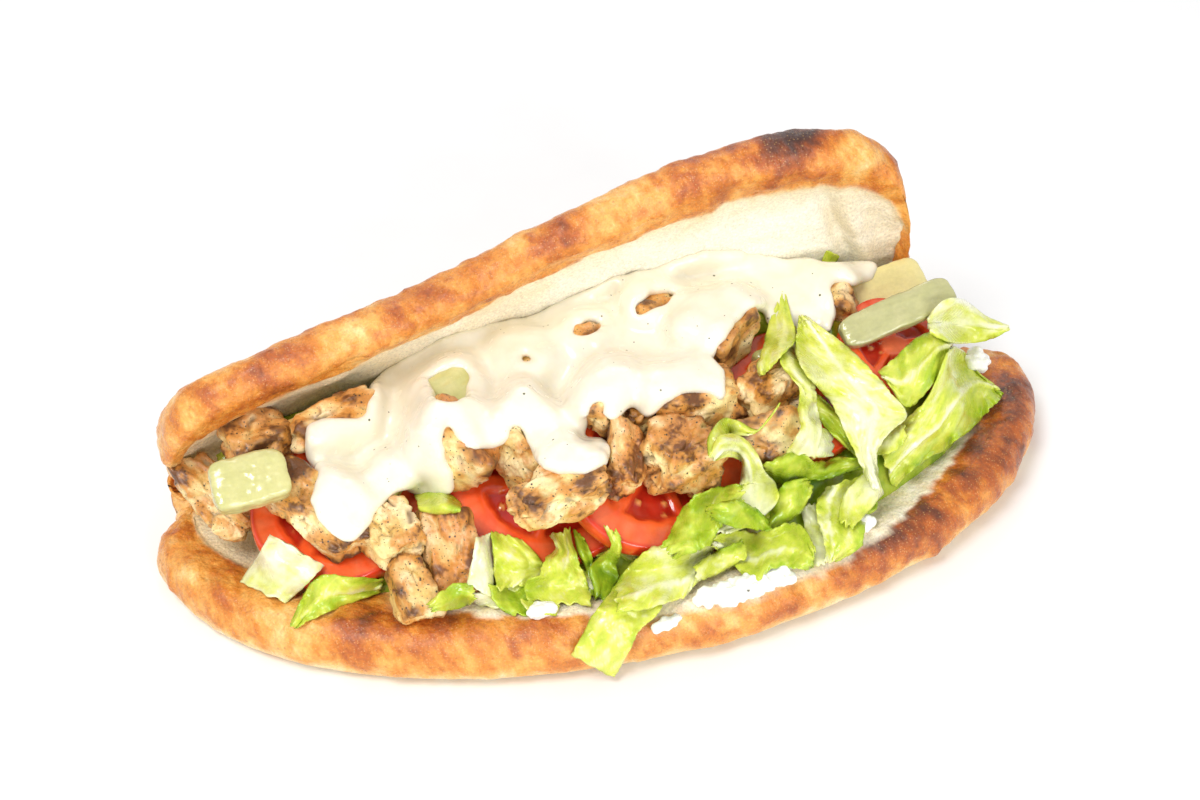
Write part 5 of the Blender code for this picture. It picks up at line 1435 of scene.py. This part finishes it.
def make_sauce(tree):
    """Beads of sauce laid on whatever carries it, melted into one body."""
    xs = np.arange(300, 884, SAUCE_STEP_PX)
    ys = np.arange(240, 548, SAUCE_STEP_PX)
    X, Y = np.meshgrid(xs, ys, indexing="ij")
    wet = inside(X, Y, SAUCE_OUTLINE)
    for gap in SAUCE_GAPS:
        wet &= ~inside(X, Y, gap)
    depth = np.full(X.shape, np.nan)
    for i in range(X.shape[0]):
        for j in range(X.shape[1]):
            start, way = pixel_ray(float(X[i, j]), float(Y[i, j]))
            hit = tree.ray_cast(start, way)
            if hit[0] is not None:
                depth[i, j] = hit[3]
    full = np.where(np.isnan(depth), np.nanmax(depth), depth)
    near = full.copy()
    for _ in range(2):
        grown = near.copy()
        for di, dj in ((1, 0), (-1, 0), (0, 1), (0, -1)):
            grown = np.minimum(grown, np.roll(np.roll(near, di, 0), dj, 1) + 0.6)
        near = grown
    for _ in range(4):
        total = near * 2
        for way, axis in ((1, 0), (-1, 0), (1, 1), (-1, 1)):
            total = total + np.roll(near, way, axis)
        near = total / 6.0
    near = np.minimum(near, full)
    beads = []
    for i in range(X.shape[0]):
        for j in range(X.shape[1]):
            if not wet[i, j]:
                continue
            start, way = pixel_ray(float(X[i, j]), float(Y[i, j]))
            p = np.array(start + way * float(near[i, j]))
            swell = SAUCE_SWELL_MM + 0.6 * float(perlin(p / 11.0, 71)) + 0.2 * float(perlin(p / 5.0, 72))
            beads.append((p, swell))
            gap = min(SAUCE_DEEPEST_MM, float(full[i, j] - near[i, j]))
            k = 1
            while k * SAUCE_STEP_MM < gap:
                beads.append((np.array(start + way * float(near[i, j] + k * SAUCE_STEP_MM)), swell))
                k += 1
    # backs of the lumps, reached from straight above
    for x in np.arange(-94.0, 90.0, SAUCE_STEP_MM):
        for y in np.arange(-40.0, 16.0, SAUCE_STEP_MM):
            hit = tree.ray_cast(Vector((float(x), float(y), 90.0)), Vector((0.0, 0.0, -1.0)))
            if hit[0] is None or hit[0].z > SAUCE_TOP_Z:
                continue
            px, py = to_pixels(np.array(hit[0])[None])
            if inside(px, py, SAUCE_OUTLINE)[0] and not any(inside(px, py, gap)[0] for gap in SAUCE_GAPS):
                beads.append((np.array(hit[0]), SAUCE_BACK_MM))
    ball, faces = SPHERES[2]
    points = np.concatenate([ball * r + p for p, r in beads])
    tris = np.concatenate([faces + k * len(ball) for k in range(len(beads))])
    p, faces, normal = melt(points, tris, *SAUCE_MELT)
    p = p + normal * (0.35 * fbm(p / 9.0, 73, 2))[:, None]
    paint = shade((234, 227, 204), (245, 240, 224), 0.9 * fbm(p / 9.0, 74, 3))
    add_piece("poured_sauce", p, faces, SAUCE_MAT, ("sauce",), paint)


# Curd

CURDS = ("curd_front", "curd_right", "curd_chip", "curd_bit_left", "curd_bit_right")


def make_curds():
    ball, ball_faces = SPHERES[2]
    for k, name in enumerate(CURDS):
        rng = np.random.default_rng(300 + k)
        node_points, _ = node_arrays(name)
        mid, axes, half = own_axes(node_points)
        count = int(26 + 5.0 * half[0] * half[1] / 4.0)
        parts, tris = [], []
        for b in range(count):
            q = rng.normal(0.0, 1.0, 3)
            q = q / np.linalg.norm(q) * rng.uniform(0.2, 1.0) ** 0.4
            r = rng.uniform(0.9, 2.0) * min(1.0, half[2] / 2.6 + 0.35)
            centre = mid + (q * (half - 0.5 * r)) @ axes
            wobble = 1.0 + 0.25 * perlin(ball * 1.3 + b, 310 + k)
            parts.append(centre + ball * (r * wobble)[:, None] * rng.uniform(0.75, 1.2, 3))
            tris.append(ball_faces + b * len(ball))
        points, faces, normal = melt(np.concatenate(parts), np.concatenate(tris), *CURD_MELT)
        points = points + normal * (0.22 * fbm(points / 1.3, 320 + k, 2))[:, None]
        paint = shade((250, 248, 240), (255, 255, 251), fbm(points / 3.0, 330 + k, 2))
        add_piece("crumbled_" + name, points, faces, CURD_MAT, (name,), paint)


# Put it together

bread_points, bread_faces = make_bread()
bread_tree = tree_of(bread_points, bread_faces)
meat = make_all_meat()
tomatoes = make_tomatoes()
pickles = make_pickles()
above = tree_of(*joined(meat + tomatoes + pickles))
core_part, core_grid = make_core(bread_tree, above)
carriers = tree_of(*joined([(bread_points, bread_faces)] + meat + tomatoes + pickles + [core_part[:2]]))
make_sauce(carriers)
make_curds()
make_leaves(carriers)
add_sheets("lettuce_mound", [core_part] + shreds(core_grid))


# Floor, light and camera

FLOOR_HALF_M = 3.0
FLOOR_DROP_M = 0.0002
WORLD_LIGHT = 0.60
LAMP_AIM = (0.0, -0.01, 0.03)
# Soft lamps: name, place, width, power
LAMPS = (
    ("key", (-0.55, -0.35, 1.05), 0.55, 8.4),
    ("fill", (0.20, -1.25, 0.45), 0.8, 9.0),
    ("back", (0.25, 0.9, 0.85), 0.7, 3.0),
)


def floor():
    mesh = bmesh.new()
    bmesh.ops.create_grid(mesh, x_segments=1, y_segments=1, size=FLOOR_HALF_M)
    data = bpy.data.meshes.new("studio_floor")
    mesh.to_mesh(data)
    mesh.free()
    obj = bpy.data.objects.new("studio_floor", data)
    obj.location = (0.0, 0.0, -FLOOR_DROP_M)
    bpy.context.scene.collection.objects.link(obj)
    mat = bpy.data.materials.new("pale_floor")
    mat.use_nodes = True
    tree = mat.node_tree
    shader = tree.nodes["Principled BSDF"]
    place = {"Vector": tree.nodes.new("ShaderNodeTexCoord").outputs["Object"]}
    grain = linked(tree, "ShaderNodeTexNoise", place, Scale=30.0, Detail=2.0)
    tree.links.new(ranged(tree, grain.outputs["Fac"], 0.0, 1.0, 0.86, 0.90), shader.inputs["Base Color"])
    shader.inputs["Roughness"].default_value = 0.8
    data.materials.append(mat)


def light(name, at, size, power):
    lamp = bpy.data.lights.new(name, "AREA")
    lamp.shape = "DISK"
    lamp.size = size
    lamp.energy = power
    obj = bpy.data.objects.new(name, lamp)
    obj.location = at
    obj.rotation_euler = (Vector(LAMP_AIM) - Vector(at)).to_track_quat("-Z", "Y").to_euler()
    bpy.context.scene.collection.objects.link(obj)


floor()
for lamp_row in LAMPS:
    light(*lamp_row)
world = bpy.data.worlds.new("studio")
bpy.context.scene.world = world
world.use_nodes = True
world.node_tree.nodes["Background"].inputs[0].default_value = (1.0, 1.0, 1.0, 1.0)
world.node_tree.nodes["Background"].inputs[1].default_value = WORLD_LIGHT
bpy.context.scene.view_settings.view_transform = "Standard"

camera = bpy.data.cameras.new("photo_camera")
camera.lens = CAM_LENS
camera.sensor_width = CAM_SENSOR
camera.clip_start = 0.01
eye = bpy.data.objects.new("photo_camera", camera)
bpy.context.scene.collection.objects.link(eye)
pose = Matrix((CAM_RIGHT, CAM_UP, CAM_BACK)).transposed().to_4x4()
pose.translation = CAM_AT * MM
eye.matrix_world = pose
bpy.context.scene.camera = eye
